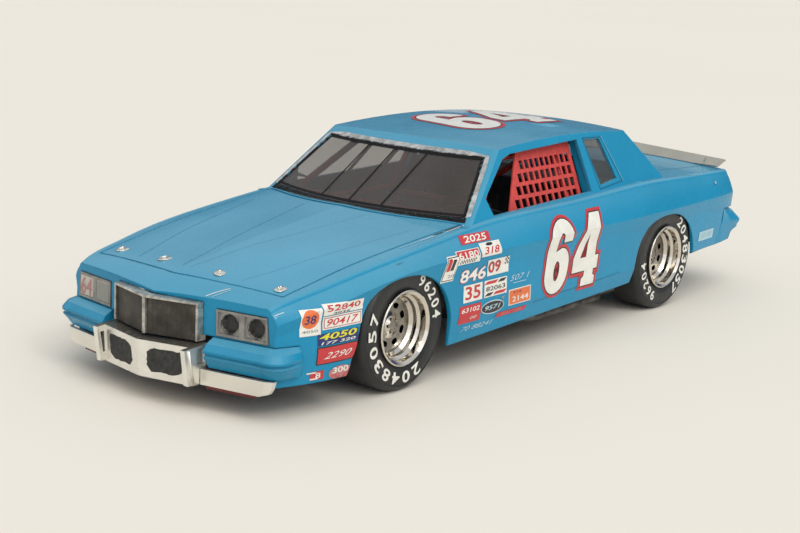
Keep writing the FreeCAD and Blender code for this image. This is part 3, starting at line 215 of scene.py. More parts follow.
def worn_foil_material(name):
    """Bright foil on upright faces, dull and brown on top, where the paint below shows."""
    tree = Tree(name)
    bright = tree.ramp(tree.noise(0.3), [(0.3, (0.8, 0.78, 0.71)), (0.7, (0.92, 0.9, 0.84))])
    dull = tree.ramp(tree.noise(0.7, 5.0, 0.7), [(0.3, (0.14, 0.12, 0.09)), (0.7, (0.42, 0.39, 0.33))])
    tree.wire(tree.mix(tree.facing("Z", 0.45, 0.7), bright, dull), tree.shader.inputs["Base Color"])
    tree.vary(tree.noise(0.6), 0.26, 0.38, "Roughness")
    tree.bump(tree.noise(0.2, 2.0), 0.012, 0.15)
    tree.set(Metallic=0.8)
    return tree.material


def mesh_material(name):
    """Dark woven screen: a fine grid of bumps with worn metal on its high threads."""
    tree = Tree(name)
    weave = tree.add("TexBrick", offset=0.0)
    weave.inputs["Scale"].default_value = 0.8 / MM
    weave.inputs["Mortar Size"].default_value = 0.12
    mapping = tree.add("Mapping")
    mapping.inputs["Rotation"].default_value = (math.radians(90), 0, math.radians(90))
    tree.wire(tree.add("TexCoord").outputs["Object"], mapping.inputs["Vector"])
    tree.wire(mapping.outputs["Vector"], weave.inputs["Vector"])
    stops = [(0.3, (0.02, 0.018, 0.014)), (0.55, (0.06, 0.052, 0.042)), (0.75, (0.15, 0.135, 0.11))]
    tree.wire(tree.ramp(tree.noise(0.25, 6.0, 0.65), stops), tree.shader.inputs["Base Color"])
    tree.vary(tree.noise(0.5), 0.4, 0.65, "Roughness")
    tree.bump(weave.outputs["Fac"], -0.08)
    tree.set(Metallic=0.3)
    return tree.material


def glass_material(name, tint, body):
    """Thin smoked plastic with haze and dust in it; body is the share of light that it stops."""
    tree = Tree(name)
    tone = tree.ramp(tree.noise(0.06, 5.0), [(0.3, shade(tint, 0.8)), (0.7, shade(tint, 1.15))])
    tree.wire(tone, tree.shader.inputs["Base Color"])
    tree.vary(tree.noise(0.3), 0.04, 0.1, "Roughness")
    tree.bump(tree.noise(0.08, 1.0), 0.004)
    tree.set(Alpha=body, Specular_IOR_Level=0.35)
    return tree.material


# The side colour, then a paler lit copy of it for faces that point up: painted light.
paint = paint_material("paint_blue", (0.014, 0.255, 0.44), (0.075, 0.315, 0.46))
# Plating with painted shade in its corners and a painted dark reflection on its discs.
chrome = chrome_material("bright_plating", (0.74, 0.69, 0.61), (0.05, 0.12))
foil = worn_foil_material("bumper_foil")
dull_silver = finish(
    "worn_silver", (0.5, 0.48, 0.43), 0.35, 0.6, (0.25, 0.4), (2.0, 0.015), 0.12, Metallic=0.75
)
lamp_silver = finish(
    "lamp_silver", (0.3, 0.29, 0.265), 0.2, 0.5, (0.35, 0.5), (2.0, 0.02), 0.12, Metallic=0.5
)
strip_metal = finish(
    "strip_plating", (0.82, 0.79, 0.71), 0.04, 0.1, (0.28, 0.38), (0.5, 0.003), 0.15, Metallic=0.8
)
blade = finish(
    "spoiler_silver", (0.44, 0.41, 0.345), 0.05, 0.2, (0.3, 0.4), (3.0, 0.006), 0.12, Metallic=0.35
)
mesh_black = mesh_material("grille_screen")
black = finish("satin_black", (0.018, 0.017, 0.016), 0.3, 0.3, (0.4, 0.6))
char = finish("flat_black", (0.03, 0.029, 0.027), 0.45, 0.9, (0.55, 0.75), (2.5, 0.02))
trim_foil = finish("trim_foil", (0.56, 0.55, 0.52), 0.3, 0.5, (0.25, 0.4), (0.8, 0.008), Metallic=0.8)
pin_metal = finish("pin_metal", (0.8, 0.76, 0.68), 0.15, 1.0, (0.12, 0.25), (1.0, 0.02), Metallic=0.8)
jet = finish("jet_black", (0.005, 0.005, 0.005), 0.3, 0.5, (0.5, 0.7), Specular_IOR_Level=0.2)
white = finish("cover_white", (0.55, 0.5, 0.44), 0.1, 0.5)
dark_red = finish("apron_red", (0.15, 0.012, 0.014), 0.2, 0.3, (0.3, 0.45))
lamp_red = finish("lamp_red", (0.3, 0.012, 0.01), 0.2, 0.6, (0.1, 0.2), (1.0, 0.02), Coat_Weight=0.6)
net_red = finish("net_red", (0.6, 0.06, 0.05), 0.12, 0.8, (0.5, 0.7), (8.0, 0.02), 0.08)
cage_red = finish("cage_red", (0.5, 0.035, 0.025), 0.15, 0.3, (0.3, 0.5))
seat_black = finish("seat_black", (0.02, 0.019, 0.018), 0.3, 0.2, (0.5, 0.75), (3.0, 0.03))
tub = finish("tub_brown_grey", (0.045, 0.038, 0.034), 0.35, 0.1, (0.5, 0.8), (2.0, 0.03))
engine_blue = finish("engine_enamel", (0.05, 0.09, 0.25), 0.2, 0.2, soften=0.2)
cast = finish("cast_metal", (0.16, 0.155, 0.15), 0.3, 0.2, (0.4, 0.65), (3.0, 0.02), 0.15, Metallic=0.6)
pipe = finish("exhaust_steel", (0.11, 0.1, 0.09), 0.6, 0.3, (0.3, 0.6), (2.0, 0.01), Metallic=0.8)
rubber = finish("tyre_rubber", (0.014, 0.015, 0.015), 0.2, 0.2, (0.34, 0.46), (3.0, 0.008), 0.1)
smoked = glass_material("smoked_glass", (0.1, 0.085, 0.075), 0.54)
clear = glass_material("rear_glass", (0.14, 0.15, 0.15), 0.3)

looks = {
    paint: "body_shell hood bumper_cover rear_bumper",
    chrome: "rim_front_left rim_front_right rim_rear_left rim_rear_right air_cleaner",
    foil: "front_bumper",
    dull_silver: "grille_frame valve_covers rear_springs",
    lamp_silver: "lamp_bezel_left lamp_bezel_right",
    strip_metal: "lower_strip",
    blade: "spoiler",
    mesh_black: "grille_mesh",
    black: "windscreen_braces dashboard radiator steering_wheel fuel_cell frame",
    white: "lamp_covers_right",
    dark_red: "air_dam",
    lamp_red: "tail_lamps",
    smoked: "windscreen",
    clear: "rear_window quarter_window_left quarter_window_right",
    net_red: "window_net",
    cage_red: "roll_cage",
    seat_black: "seat",
    tub: "interior_tub inner_fenders_front wheel_tubs_rear fan",
    engine_blue: "engine_block",
    pipe: "exhaust_left exhaust_right",
    cast: "gearbox drive_shaft rear_axle front_suspension knuckle_left knuckle_right",
    rubber: "tyre_front_left tyre_front_right tyre_rear_left tyre_rear_right",
}
for material, names in looks.items():
    for name in names.split():
        mesh = nodes[name].data
        mesh.materials.clear()
        mesh.materials.append(material)


def ink(name, colour):
    return finish("ink_" + name, colour, 0.05, 0.4, (0.3, 0.42), (4.0, 0.002))


inks = {
    "white": ink("white", (0.8, 0.78, 0.7)),
    "pale": ink("pale", (0.45, 0.62, 0.66)),
    "red": ink("red", (0.55, 0.035, 0.04)),
    "rose": ink("rose", (0.5, 0.2, 0.19)),
    "black": ink("black", (0.022, 0.02, 0.022)),
    "navy": ink("navy", (0.02, 0.03, 0.14)),
    "yellow": ink("yellow", (0.72, 0.66, 0.03)),
    "orange": ink("orange", (0.75, 0.16, 0.04)),
    "grey": ink("grey", (0.27, 0.27, 0.24)),
    "deep": ink("deep_blue", (0.012, 0.1, 0.17)),
    "light": ink("light_blue", (0.25, 0.52, 0.62)),
    "shadow": ink("crease_shade_blue", (0.06, 0.28, 0.41)),
    "char": char,
    "jet": jet,
    "cobalt": ink("cobalt", (0.008, 0.05, 0.24)),
    "trim": trim_foil,
}


def link(name, mesh, body, smooth=False):
    """Adds a mesh to the scene as a piece that moves with a body."""
    piece = bpy.data.objects.new(name, mesh)
    scene.collection.objects.link(piece)
    if smooth:
        for face in mesh.polygons:
            face.use_smooth = True
    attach(piece, body)
    return piece


def mesh_of(data):
    holder = bpy.data.objects.new("holder", data)
    mesh = bpy.data.meshes.new_from_object(holder)
    bpy.data.objects.remove(holder)
    return mesh


def flat(rings, grow=0.0):
    """Flat triangles within closed rings of (u, v) points; a ring inside another is a hole."""
    curve = bpy.data.curves.new("rings", "CURVE")
    curve.dimensions = "2D"
    curve.fill_mode = "FRONT"
    curve.offset = grow
    for ring in rings:
        spline = curve.splines.new("POLY")
        spline.points.add(len(ring) - 1)
        for point, (u, v) in zip(spline.points, ring):
            point.co = (u, v, 0, 1)
        spline.use_cyclic_u = True
    return mesh_of(curve)


def digits(text, weight=0.015, slant=0.0):
    """Flat triangles of plain numerals."""
    data = bpy.data.curves.new("digits", "FONT")
    data.body = text
    data.fill_mode = "FRONT"
    data.offset = weight
    data.shear = slant
    data.resolution_u = 3
    return mesh_of(data)


def fit(mesh, u, v, width, height, turn=0.0):
    """Scales a flat mesh to a box centred on (u, v) and turns it about that centre by degrees."""
    us, vs = [p.co.x for p in mesh.vertices], [p.co.y for p in mesh.vertices]
    middle = Vector(((min(us) + max(us)) / 2, (min(vs) + max(vs)) / 2, 0))
    size = Matrix.Diagonal((width / (max(us) - min(us)), height / (max(vs) - min(vs)), 1, 1))
    spin = Matrix.Rotation(math.radians(turn), 4, "Z")
    mesh.transform(Matrix.Translation((u, v, 0)) @ spin @ size @ Matrix.Translation(-middle))
    return mesh


def bar(u, v, width, height, lean=0.0):
    """Ring of an upright or leaning box centred on (u, v)."""
    w, h, k = width / 2, height / 2, lean / 2
    return [(u - w - k, v - h), (u + w - k, v - h), (u + w + k, v + h), (u - w + k, v + h)]


def round_ring(u, v, width, height, steps=24, ragged=0.0):
    ring = []
    for k in range(steps):
        turn = 2 * math.pi * k / steps
        reach = 0.5 + chance.uniform(-ragged, ragged)
        ring.append((u + width * reach * math.cos(turn), v + height * reach * math.sin(turn)))
    return ring


class Side:
    """A side of the car that flat markings are laid on, in millimetres.

    Across and up run along it, and out points away from the car. Each point falls on the pieces
    from START outside, down to the lowest place along out. Where it meets nothing, it goes to the
    point of the pieces that is nearest to the place called beside.
    """

    START = 150
    LIFT = 0.1
    LEVEL_LIFT = 0.03

    def __init__(
        self, name, pieces, across, up, body="chassis", step=0.45, origin=(0, 0, 0), lowest=-110, beside=40
    ):
        self.name, self.body, self.step = name, body, step
        self.lowest, self.beside = lowest, beside
        self.origin = Vector(origin)
        self.across, self.up = Vector(across), Vector(up)
        self.out = self.across.cross(self.up)
        self.bm = bmesh.new()
        self.materials = []
        vertices, faces = [], []
        for piece in pieces:
            start = len(vertices)
            vertices += [v.co / MM for v in piece.data.vertices]
            faces += [tuple(start + k for k in face.vertices) for face in piece.data.polygons]
        self.tree = BVHTree.FromPolygons(vertices, faces)

    def place(self, u, v, lift):
        start = self.origin + u * self.across + v * self.up + self.START * self.out
        hit, normal = self.tree.ray_cast(start, -self.out, self.START - self.lowest)[:2]
        if hit is None:
            hit, normal = self.tree.find_nearest(start - (self.START - self.beside) * self.out)[:2]
        return (hit + lift * normal) * MM

    def lay(self, mesh, colour, level=0):
        """Lays a flat mesh on the side; a higher level lies on top of a lower one."""
        material = inks[colour]
        if material not in self.materials:
            self.materials.append(material)
        bm = bmesh.new()
        bm.from_mesh(mesh)
        for axis in (0, 1):
            places = [v.co[axis] for v in bm.verts]
            cut = math.floor(min(places) / self.step + 1) * self.step
            while cut < max(places):
                point, normal = Vector((0, 0, 0)), Vector((0, 0, 0))
                point[axis], normal[axis] = cut, 1
                parts = bm.verts[:] + bm.edges[:] + bm.faces[:]
                bmesh.ops.bisect_plane(bm, geom=parts, plane_co=point, plane_no=normal)
                cut += self.step
        for vertex in bm.verts:
            vertex.co = self.place(vertex.co.x, vertex.co.y, self.LIFT + self.LEVEL_LIFT * level)
        for face in bm.faces:
            face.material_index = self.materials.index(material)
        laid = bpy.data.meshes.new("laid")
        bm.to_mesh(laid)
        self.bm.from_mesh(laid)
        bm.free()

    def rings(self, rings, colour, level=0, grow=0.0):
        self.lay(flat(rings, grow), colour, level)

    def number(self, text, u, v, width, height, colour, level=1, slant=0.0, turn=0.0, weight=0.015):
        self.lay(fit(digits(text, weight, slant), u, v, width, height, turn), colour, level)

    def checks(self, u, v, columns, rows, cell, colour, level=2):
        """Alternate squares of a chequered patch whose lower left corner is (u, v)."""
        cells = [(c, r) for c in range(columns) for r in range(rows) if (c + r) % 2 == 0]
        square = 0.92 * cell
        boxes = [bar(u + (c + 0.5) * cell, v + (r + 0.5) * cell, square, square) for c, r in cells]
        self.rings(boxes, colour, level)

    def build(self):
        mesh = bpy.data.meshes.new(self.name)
        self.bm.to_mesh(mesh)
        self.bm.free()
        for material in self.materials:
            mesh.materials.append(material)
        return link(self.name, mesh, self.body)


def bow(u, v, width, height, start, stop, steps=12):
    """Points of an elliptical arc about (u, v), with half its width and height."""
    turns = [math.radians(start + (stop - start) * k / steps) for k in range(steps + 1)]
    return [(u + width * math.cos(t), v + height * math.sin(t)) for t in turns]


SIX_OUTER = (
    [(9.6, 11.0)]
    + bow(5.0, 11.6, 4.6, 4.4, 0, 180)
    + bow(5.0, 4.7, 4.6, 4.7, 180, 360)
    + bow(5.9, 6.2, 3.7, 3.6, 0, 90)
    + [(3.9, 9.1)]
    + bow(5.0, 11.4, 1.1, 1.7, 180, 0)
    + [(6.1, 11.0)]
)
SIX_HOLE = bow(5.0, 4.9, 1.15, 2.2, 0, 350)
FOUR_OUTER = [(4.6, 0), (10.2, 0), (10.2, 1.7), (9.3, 2.2)]
FOUR_OUTER += [(9.3, 3.4), (10.8, 3.4), (10.8, 6.4), (9.3, 6.4)]
FOUR_OUTER += [(9.3, 16), (5.2, 16), (0.2, 6.6), (0.2, 3.4), (5.5, 3.4), (5.5, 2.2), (4.6, 1.7)]
FOUR_HOLE = [(5.5, 6.4), (5.5, 11.6), (3.0, 6.4)]
NUMERAL_PITCH = 11.4
NUMERAL_LEAN = 0.2
NUMERALS_WIDTH = 25.4
NUMERALS_HEIGHT = 16


def big_number(side, u, v, width, height, edge):
    """The race number as leaning block numerals with a dark line and a red edge."""
    def lean(ring, shift):
        moved = [(a + shift + NUMERAL_LEAN * b, b) for a, b in ring]
        return [(u + a * width / NUMERALS_WIDTH, v + b * height / NUMERALS_HEIGHT) for a, b in moved]

    outers = [lean(SIX_OUTER, 0), lean(FOUR_OUTER, NUMERAL_PITCH)]
    holes = [lean(SIX_HOLE, 0), lean(FOUR_HOLE, NUMERAL_PITCH)]
    side.rings(outers, "red", 0, edge)
    side.rings(outers, "black", 1, 0.3 * edge)
    side.rings(outers + holes, "white", 2)
    side.rings(holes, "red", 1, -0.1 * edge)


def fender_panels(side, at):
    """The block of small panels ahead of the front wheel; at turns a place along the car into u."""
    side.rings([bar(at(88.6), 21.0, 5.1, 5.7)], "white")
    side.rings([round_ring(at(88.8), 21.7, 4.2, 4.0)], "orange", 1)
    side.number("38", at(88.8), 21.7, 2.7, 1.9, "navy", 2)
    side.number("4050", at(88.7), 19.1, 3.8, 0.6, "grey", 1)
    side.rings([bar(at(79.9), 23.3, 11.6, 2.4)], "white")
    side.number("52840", at(79.9), 23.55, 9.8, 1.3, "red", 1)
    side.number("3026", at(80.4), 22.4, 5.0, 0.45, "black", 1)
    side.rings([bar(at(80.0), 20.45, 11.3, 2.9)], "white")
    side.rings([bar(at(80.0), 20.45, 10.7, 2.4)], "rose", 1)
    side.rings([bar(at(80.0), 20.45, 10.2, 2.0)], "white", 2)
    side.number("90417", at(80.0), 20.45, 9.2, 1.5, "red", 3, 0.3)
    side.rings([bar(at(81.1), 16.9, 11.5, 2.6)], "navy")
    side.number("4050", at(81.1), 17.5, 10.6, 1.4, "yellow", 1, 0.2, weight=0.02)
    side.number("177 320", at(81.1), 16.1, 9.8, 0.6, "white", 1, 0.2)
    side.rings([bar(at(81.2), 13.4, 11.5, 3.9)], "black")
    side.rings([bar(at(81.2), 13.4, 11.0, 3.4)], "red", 1)
    side.number("2290", at(81.2), 13.3, 8.0, 1.4, "white", 2, 0.5, weight=0.0)
    side.rings([bar(at(86.4), 9.2, 3.4, 1.9)], "red")
    side.rings([bar(at(87.9), 9.9, 2.4, 0.3), bar(at(87.2), 8.5, 2.0, 0.3)], "white", 1)
    side.number("8", at(86.2), 9.2, 1.3, 1.2, "white", 2)
    side.rings([round_ring(at(80.0), 9.0, 6.6, 3.0)], "rose")
    side.number("300", at(80.0), 9.6, 4.6, 1.3, "white", 1)
    side.number("751 20", at(80.0), 8.3, 5.0, 0.7, "red", 1)


def door_panels(side, at):
    """The block of small panels behind the front wheel; at turns a place along the car into u."""
    forward = 1 if at(1) < 0 else -1
    side.rings([bar(at(32.7), 31.95, 11.0, 1.9, 0.5)], "red")
    side.number("2025", at(32.7), 31.95, 8.6, 1.4, "white", 1, 0.2)
    side.rings([bar(at(37.5), 28.45, 8.8, 3.1)], "white")
    side.rings([bar(at(37.5), 29.1, 8.2, 1.5)], "red", 1)
    side.number("6180", at(37.5), 28.9, 7.6, 1.3, "white", 2)
    side.checks(at(37.5) - 3.4, 27.1, 14, 2, 0.45, "black", 1)
    side.rings([bar(at(28.5), 29.15, 8.0, 3.1)], "white")
    side.number("318", at(28.3), 28.9, 6.4, 1.5, "red", 1, 0.4)
    side.rings([round_ring(at(28.7), 30.2, 2.6, 0.7)], "black", 1)
    side.rings([bar(at(44.2), 26.45, 4.8, 5.8, 2.2 * forward)], "white")
    side.rings([bar(at(44.2), 26.45, 4.3, 5.3, 2.0 * forward)], "black", 1)
    side.rings([bar(at(44.2), 26.45, 3.9, 4.9, 1.8 * forward)], "white", 2)
    side.rings([bar(at(44.9), 27.4, 1.3, 2.7, 0.9 * forward)], "red", 3)
    side.rings([bar(at(43.4), 27.3, 1.2, 2.4, 0.9 * forward)], "black", 3)
    side.number("20", at(43.8), 24.8, 2.6, 0.8, "grey", 3)
    side.number("846", at(35.1), 23.85, 10.2, 3.3, "red", 0, 0.15, weight=0.035)
    side.number("846", at(35.1), 23.85, 9.9, 3.0, "white", 1, 0.15, weight=0.02)
    side.rings([bar(at(25.1), 24.5, 8.7, 3.9)], "white")
    side.number("09", at(26.6), 24.6, 5.0, 2.9, "black", 1, weight=0.025)
    side.number("09", at(26.6), 24.6, 4.7, 2.6, "red", 2)
    corner = at(22.5) if forward > 0 else at(22.5) - 1.5
    side.checks(corner, 24.6, 3, 4, 0.5, "black", 2)
    side.rings([bar(at(34.9), 19.5, 7.4, 4.1)], "white")
    side.number("35", at(34.9), 19.6, 5.9, 3.2, "red", 1, weight=0.02)
    side.rings([bar(at(25.8), 19.5, 9.2, 4.1)], "white")
    side.number("82063", at(25.8), 19.4, 7.8, 1.1, "black", 1)
    side.rings([bar(at(27.6), 20.9, 4.6, 0.7, 1.2), bar(at(24.0), 18.1, 4.6, 0.7, 1.2)], "red", 1)
    side.rings([bar(at(23.2), 20.9, 2.6, 0.7, 1.2), bar(at(28.4), 18.1, 2.4, 0.7, 1.2)], "black", 1)
    side.number("507 1", at(15.7), 20.6, 8.4, 1.4, "pale", 0, 0.4, weight=0.0)
    side.rings([bar(at(15.7), 19.3, 5.6, 0.16)], "pale")
    side.rings([bar(at(15.5), 15.85, 9.4, 3.9)], "white")
    side.rings([bar(at(15.5), 15.85, 8.8, 3.4)], "orange", 1)
    side.number("2144", at(15.3), 15.3, 6.8, 1.3, "white", 2)
    side.number("716", at(16.6), 16.9, 3.6, 0.5, "navy", 2)
    side.rings([bar(at(35.8), 14.65, 8.5, 4.2, 0.5)], "red")
    side.number("63102", at(35.6), 15.6, 7.0, 1.1, "white", 1, 0.2)
    side.number("00", at(34.4), 13.6, 2.6, 0.7, "white", 1, 0.3, weight=0.0)
    side.rings([round_ring(at(26.8), 14.8, 9.4, 3.3)], "pale")
    side.rings([round_ring(at(26.8), 14.8, 8.8, 2.7)], "black", 1)
    side.number("9571", at(26.8), 14.8, 6.4, 1.1, "pale", 2, 0.3)
    side.number("7", at(22.7), 15.3, 1.6, 3.0, "grey", 0, 0.2)
    side.rings([bar(at(18.7), 12.35, 12.4, 1.1, 1.0)], "red")
    side.number("400 728", at(18.7), 12.35, 9.0, 0.6, "rose", 1, 0.3)
    side.number("70 88241", at(32.4), 11.1, 12.8, 1.1, "pale", 0, 0.5, weight=0.0)
    side.rings([bar(at(-81.4), 18.0, 9.6, 2.6, 0.8)], "pale")
    side.number("5038", at(-81.4), 18.0, 8.0, 1.7, "light", 1, 0.3)


def window_lines(side, at):
    """The engraved line round the small rear window, and a painted highlight beside its rear edge."""
    frame_ring = [(at(-24.7), 49.7), (at(-33.4), 49.4), (at(-38.6), 37.7), (at(-27.0), 36.7)]
    side.lay(ribbon(frame_ring, 0.09, True), "deep")
    # Painted highlight: a light line beside the frame's rear edge.
    edge_highlight = [(a + (0.2 if at(1) < 0 else -0.2), b + 0.1) for a, b in frame_ring[1:3]]
    side.lay(ribbon(edge_highlight, 0.08), "light", 1)


def ribbon(points, half, closed=False):
    """Flat strip of twice the half width along points."""
    path = points + points[:1] if closed else points
    boxes = []
    for (a, b), (c, d) in zip(path, path[1:]):
        reach = math.hypot(c - a, d - b)
        x, y = (c - a) / reach * half, (d - b) / reach * half
        right = [(a - x + y, b - y - x), (c + x + y, d + y - x)]
        left = [(c + x - y, d + y + x), (a - x - y, b - y + x)]
        boxes.append(right + left)
    bm = bmesh.new()
    for ring in boxes:
        bm.faces.new([bm.verts.new((u, v, 0)) for u, v in ring])
    mesh = bpy.data.meshes.new("ribbon")
    bm.to_mesh(mesh)
    return mesh


shell, hood = nodes["body_shell"], nodes["hood"]
for name, sign in (("left", 1), ("right", -1)):
    def along(x, turn=-sign):
        return turn * x

    side = Side("markings_" + name, [shell], (-sign, 0, 0), (0, 0, 1))
    big_number(side, -6.4 if sign > 0 else -22.2, 13.8, 28.6, 18.4, 1.0)
    fender_panels(side, along)
    door_panels(side, along)
    window_lines(side, along)
    side.lay(ribbon([(along(9.7), 13.0), (along(-31.7), 14.6)], 0.05), "deep")
    side.rings([round_ring(along(-87.8), 32.3, 1.5, 1.3)], "deep")
    side.rings([round_ring(along(-87.8), 32.35, 1.2, 1.0)], "light", 1)
    side.build()
roof = Side("roof_number", [shell], (-1, 0, 0), (0, -1, 0), step=0.9)
big_number(roof, -1.0, -10.0, 46.0, 27.5, 1.3)
roof.build()


def tyre_profile(outer, inner):
    """Half section of a slick, as (radius, y) points from its outer bead to its inner one."""
    bead = [(8.3, 0.85), (8.8, 0.5), (9.3, 0.42), (9.45, 0.34), (9.7, 0.34), (9.85, 0.26)]
    wall = [(10.8, 0.14), (11.8, 0.1), (12.8, 0.14)]
    rib = [(13.3, 0.24), (13.36, 0.17), (13.5, 0.18), (13.58, 0.33)]
    shoulder = [(14.05, 0.62), (14.4, 1.0), (14.62, 1.5), (14.72, 2.1), (AXLE_Z, 3.0)]
    side = bead + wall + rib + shoulder
    return [(r, outer - y) for r, y in side] + [(r, inner + y) for r, y in side[::-1]]


def spin(name, profile, x, sign, steps=120):
    """A closed ring of revolution about the line along Y through x at the axle's height."""
    points = []
    for k in range(steps):
        turn = 2 * math.pi * k / steps
        points += [(x + r * math.cos(turn), sign * y, AXLE_Z + r * math.sin(turn)) for r, y in profile]
    count = len(profile)
    faces = []
    for k in range(steps):
        near, far = k * count, (k + 1) % steps * count
        for j in range(count):
            after = (j + 1) % count
            ring = (near + j, near + after, far + after, far + j)
            faces.append(ring if sign < 0 else ring[::-1])
    mesh = bpy.data.meshes.new(name)
    mesh.from_pydata([Vector(p) * MM for p in points], [], faces)
    return mesh


def tyre(end, name, x, sign, marks):
    """Slick tyre with plain white numerals round its outer side.

    Each mark is its numerals, the angle of the first, the angle between two, and their width.
    """
    ring_radius, height = 11.45, 2.75
    body = f"wheel_{end}_{name}"
    mesh = spin("slick", tyre_profile(TYRE_OUTER_Y, TYRE_INNER_Y), x, sign)
    mesh.materials.append(rubber)
    piece = link(f"slick_{end}_{name}", mesh, body, True)
    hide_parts(f"tyre_{end}_{name}")
    axle = (x, 0, AXLE_Z)
    side = Side(f"tyre_numerals_{end}_{name}", [piece], (-sign, 0, 0), (0, 0, 1), body, 3.0, axle)
    for text, start, pitch, width in marks:
        for k, letter in enumerate(text):
            turn = start - k * pitch
            angle = math.radians(turn)
            u, v = ring_radius * math.cos(angle), ring_radius * math.sin(angle)
            side.number(letter, u, v, width, height, "white", 0, 0.0, turn - 90, 0.022)
    side.build()


for name, sign in (("left", 1), ("right", -1)):
    tyre("front", name, AXLE_X, sign, [("20483057", -66, 19.0, 2.75), ("96204", 62, 13.5, 1.95)])
    tyre("rear", name, -AXLE_X, sign, [("20483057", 51, 15.5, 2.4), ("96204", -118, 14.0, 2.0)])


def solid(name, parts, material, body="chassis", smooth=False):
    """One piece out of rods, with a radius and a length, and domes, with three half sizes, in mm."""
    bm = bmesh.new()
    for matrix, kind, sizes in parts:
        if kind == "rod":
            radius, length = sizes
            ends = {"radius1": radius, "radius2": radius, "depth": length}
            bmesh.ops.create_cone(bm, cap_ends=True, segments=20, matrix=matrix, **ends)
        else:
            made = bmesh.ops.create_uvsphere(bm, u_segments=20, v_segments=10, radius=1.0)
            bmesh.ops.transform(bm, matrix=matrix @ Matrix.Diagonal((*sizes, 1)), verts=made["verts"])
    bmesh.ops.scale(bm, vec=(MM, MM, MM), verts=bm.verts)
    mesh = bpy.data.meshes.new(name)
    bm.to_mesh(mesh)
    mesh.materials.append(material)
    return link(name, mesh, body, smooth)


def hood_pins():
    """Four bright bonnet pins: an oval plate, its pin and a bent clip."""
    top = Side("pin_feet", [hood], (-1, 0, 0), (0, -1, 0))
    flat_down = Matrix.Rotation(math.radians(90), 4, "Y")
    nose_fall = Matrix.Rotation(math.radians(7), 4, "Y")
    clip_radius = 0.12
    parts = []
    for x, y, turn in ((89.3, 25.6, 20), (88.6, -24.2, -15), (90.9, 9.2, 40), (90.4, -8.4, -30)):
        foot = top.place(-x, -y, 0.0) / MM
        stand = Matrix.Translation(foot) @ Matrix.Rotation(math.radians(turn), 4, "Z") @ nose_fall
        parts.append((stand @ Matrix.Translation((0, 0, 0.05)), "dome", (1.75, 1.35, 0.18)))
        parts.append((stand @ Matrix.Translation((0, 0, 0.4)), "rod", (0.28, 0.7)))
        for place, length in (((0.3, 0.15, 0.5), 2.0), ((-0.2, -0.35, 0.42), 1.5)):
            leg = stand @ Matrix.Translation(place) @ flat_down
            parts.append((leg, "rod", (clip_radius, length)))
    solid("hood_pins", parts, pin_metal, "bonnet", True)


hood_pins()


def screen_trim():
    """Foil strip round the windscreen's top and sides, black rubber inside it and along the foot."""
    corners = [(29.9, 36.1), (24.5, 48.0), (-24.5, 48.0), (-29.9, 36.1)]
    front = {"step": 0.6, "lowest": 16, "beside": 16}
    pieces = [shell, nodes["windscreen"]]
    foil_side = Side("screen_foil", pieces, (0, 1, 0), (0, 0, 1), **front)
    path = [(y + (0.6 if y > 0 else -0.6), z + (0.55 if z > 40 else 0.2)) for y, z in corners]
    foil_side.lay(ribbon(path, 0.5), "trim", 0)
    foil_side.build()
    rubber_side = Side("screen_rubber", pieces, (0, 1, 0), (0, 0, 1), **front)
    inside = [(y + (-0.2 if y > 0 else 0.2), z + (-0.2 if z > 40 else 0.0)) for y, z in corners]
    rubber_side.lay(ribbon(inside, 0.45), "jet", 0)
    rubber_side.lay(ribbon([inside[-1], inside[0]], 0.2), "jet", 0)
    for foot, head in ((-10.2, -8.8), (-0.8, -0.1), (8.8, 9.8)):
        rubber_side.lay(ribbon([(foot, 36.2), (head, 47.6)], 0.24), "jet", 1)
    rubber_side.build()
    cowl = Side("cowl_band", pieces, (-1, 0, 0), (0, -1, 0), step=0.6)
    places = [-30 + 3 * k for k in range(21)]
    foot_line = [(-(38.2 - 7.0 * (y / 30) ** 2), -y) for y in places]
    cowl.lay(ribbon(foot_line, 0.7), "jet")
    cowl.lay(ribbon([(a - 0.75, b) for a, b in foot_line[3:17]], 0.06), "trim", 1)
    cowl.build()


screen_trim()


def bumper_black():
    """Ragged black paint over the bumper's two openings, a little larger than they are."""
    low, high = 7.3, 12.7
    prow_x, prow_slope, prow_rake, prow_top = 106.4, 0.2, 0.09, 14.1
    steps, wobble = 9, 0.13
    runs = [((3.3, low), (10.3, low)), ((11.2, low + 0.9), (11.3, high - 0.4))]
    runs += [((10.9, high), (3.6, high)), ((2.5, high - 1.0), (2.2, low + 1.1))]
    bm = bmesh.new()
    for sign in (1, -1):
        outline = []
        for (y0, z0), (y1, z1) in runs:
            for k in range(steps):
                t = k / steps
                y = y0 + (y1 - y0) * t + chance.uniform(-wobble, wobble)
                z = z0 + (z1 - z0) * t + chance.uniform(-wobble, wobble)
                outline.append((sign * y, z))
        patch = flat([outline])
        for vertex in patch.vertices:
            y, z = vertex.co.x, vertex.co.y
            x = prow_x - prow_slope * abs(y) - prow_rake * (prow_top - z) + 0.04
            vertex.co = Vector((x, y, z)) * MM
        bm.from_mesh(patch)
    mesh = bpy.data.meshes.new("front_black")
    bm.to_mesh(mesh)
    mesh.materials.append(char)
    link("front_black", mesh, "chassis")


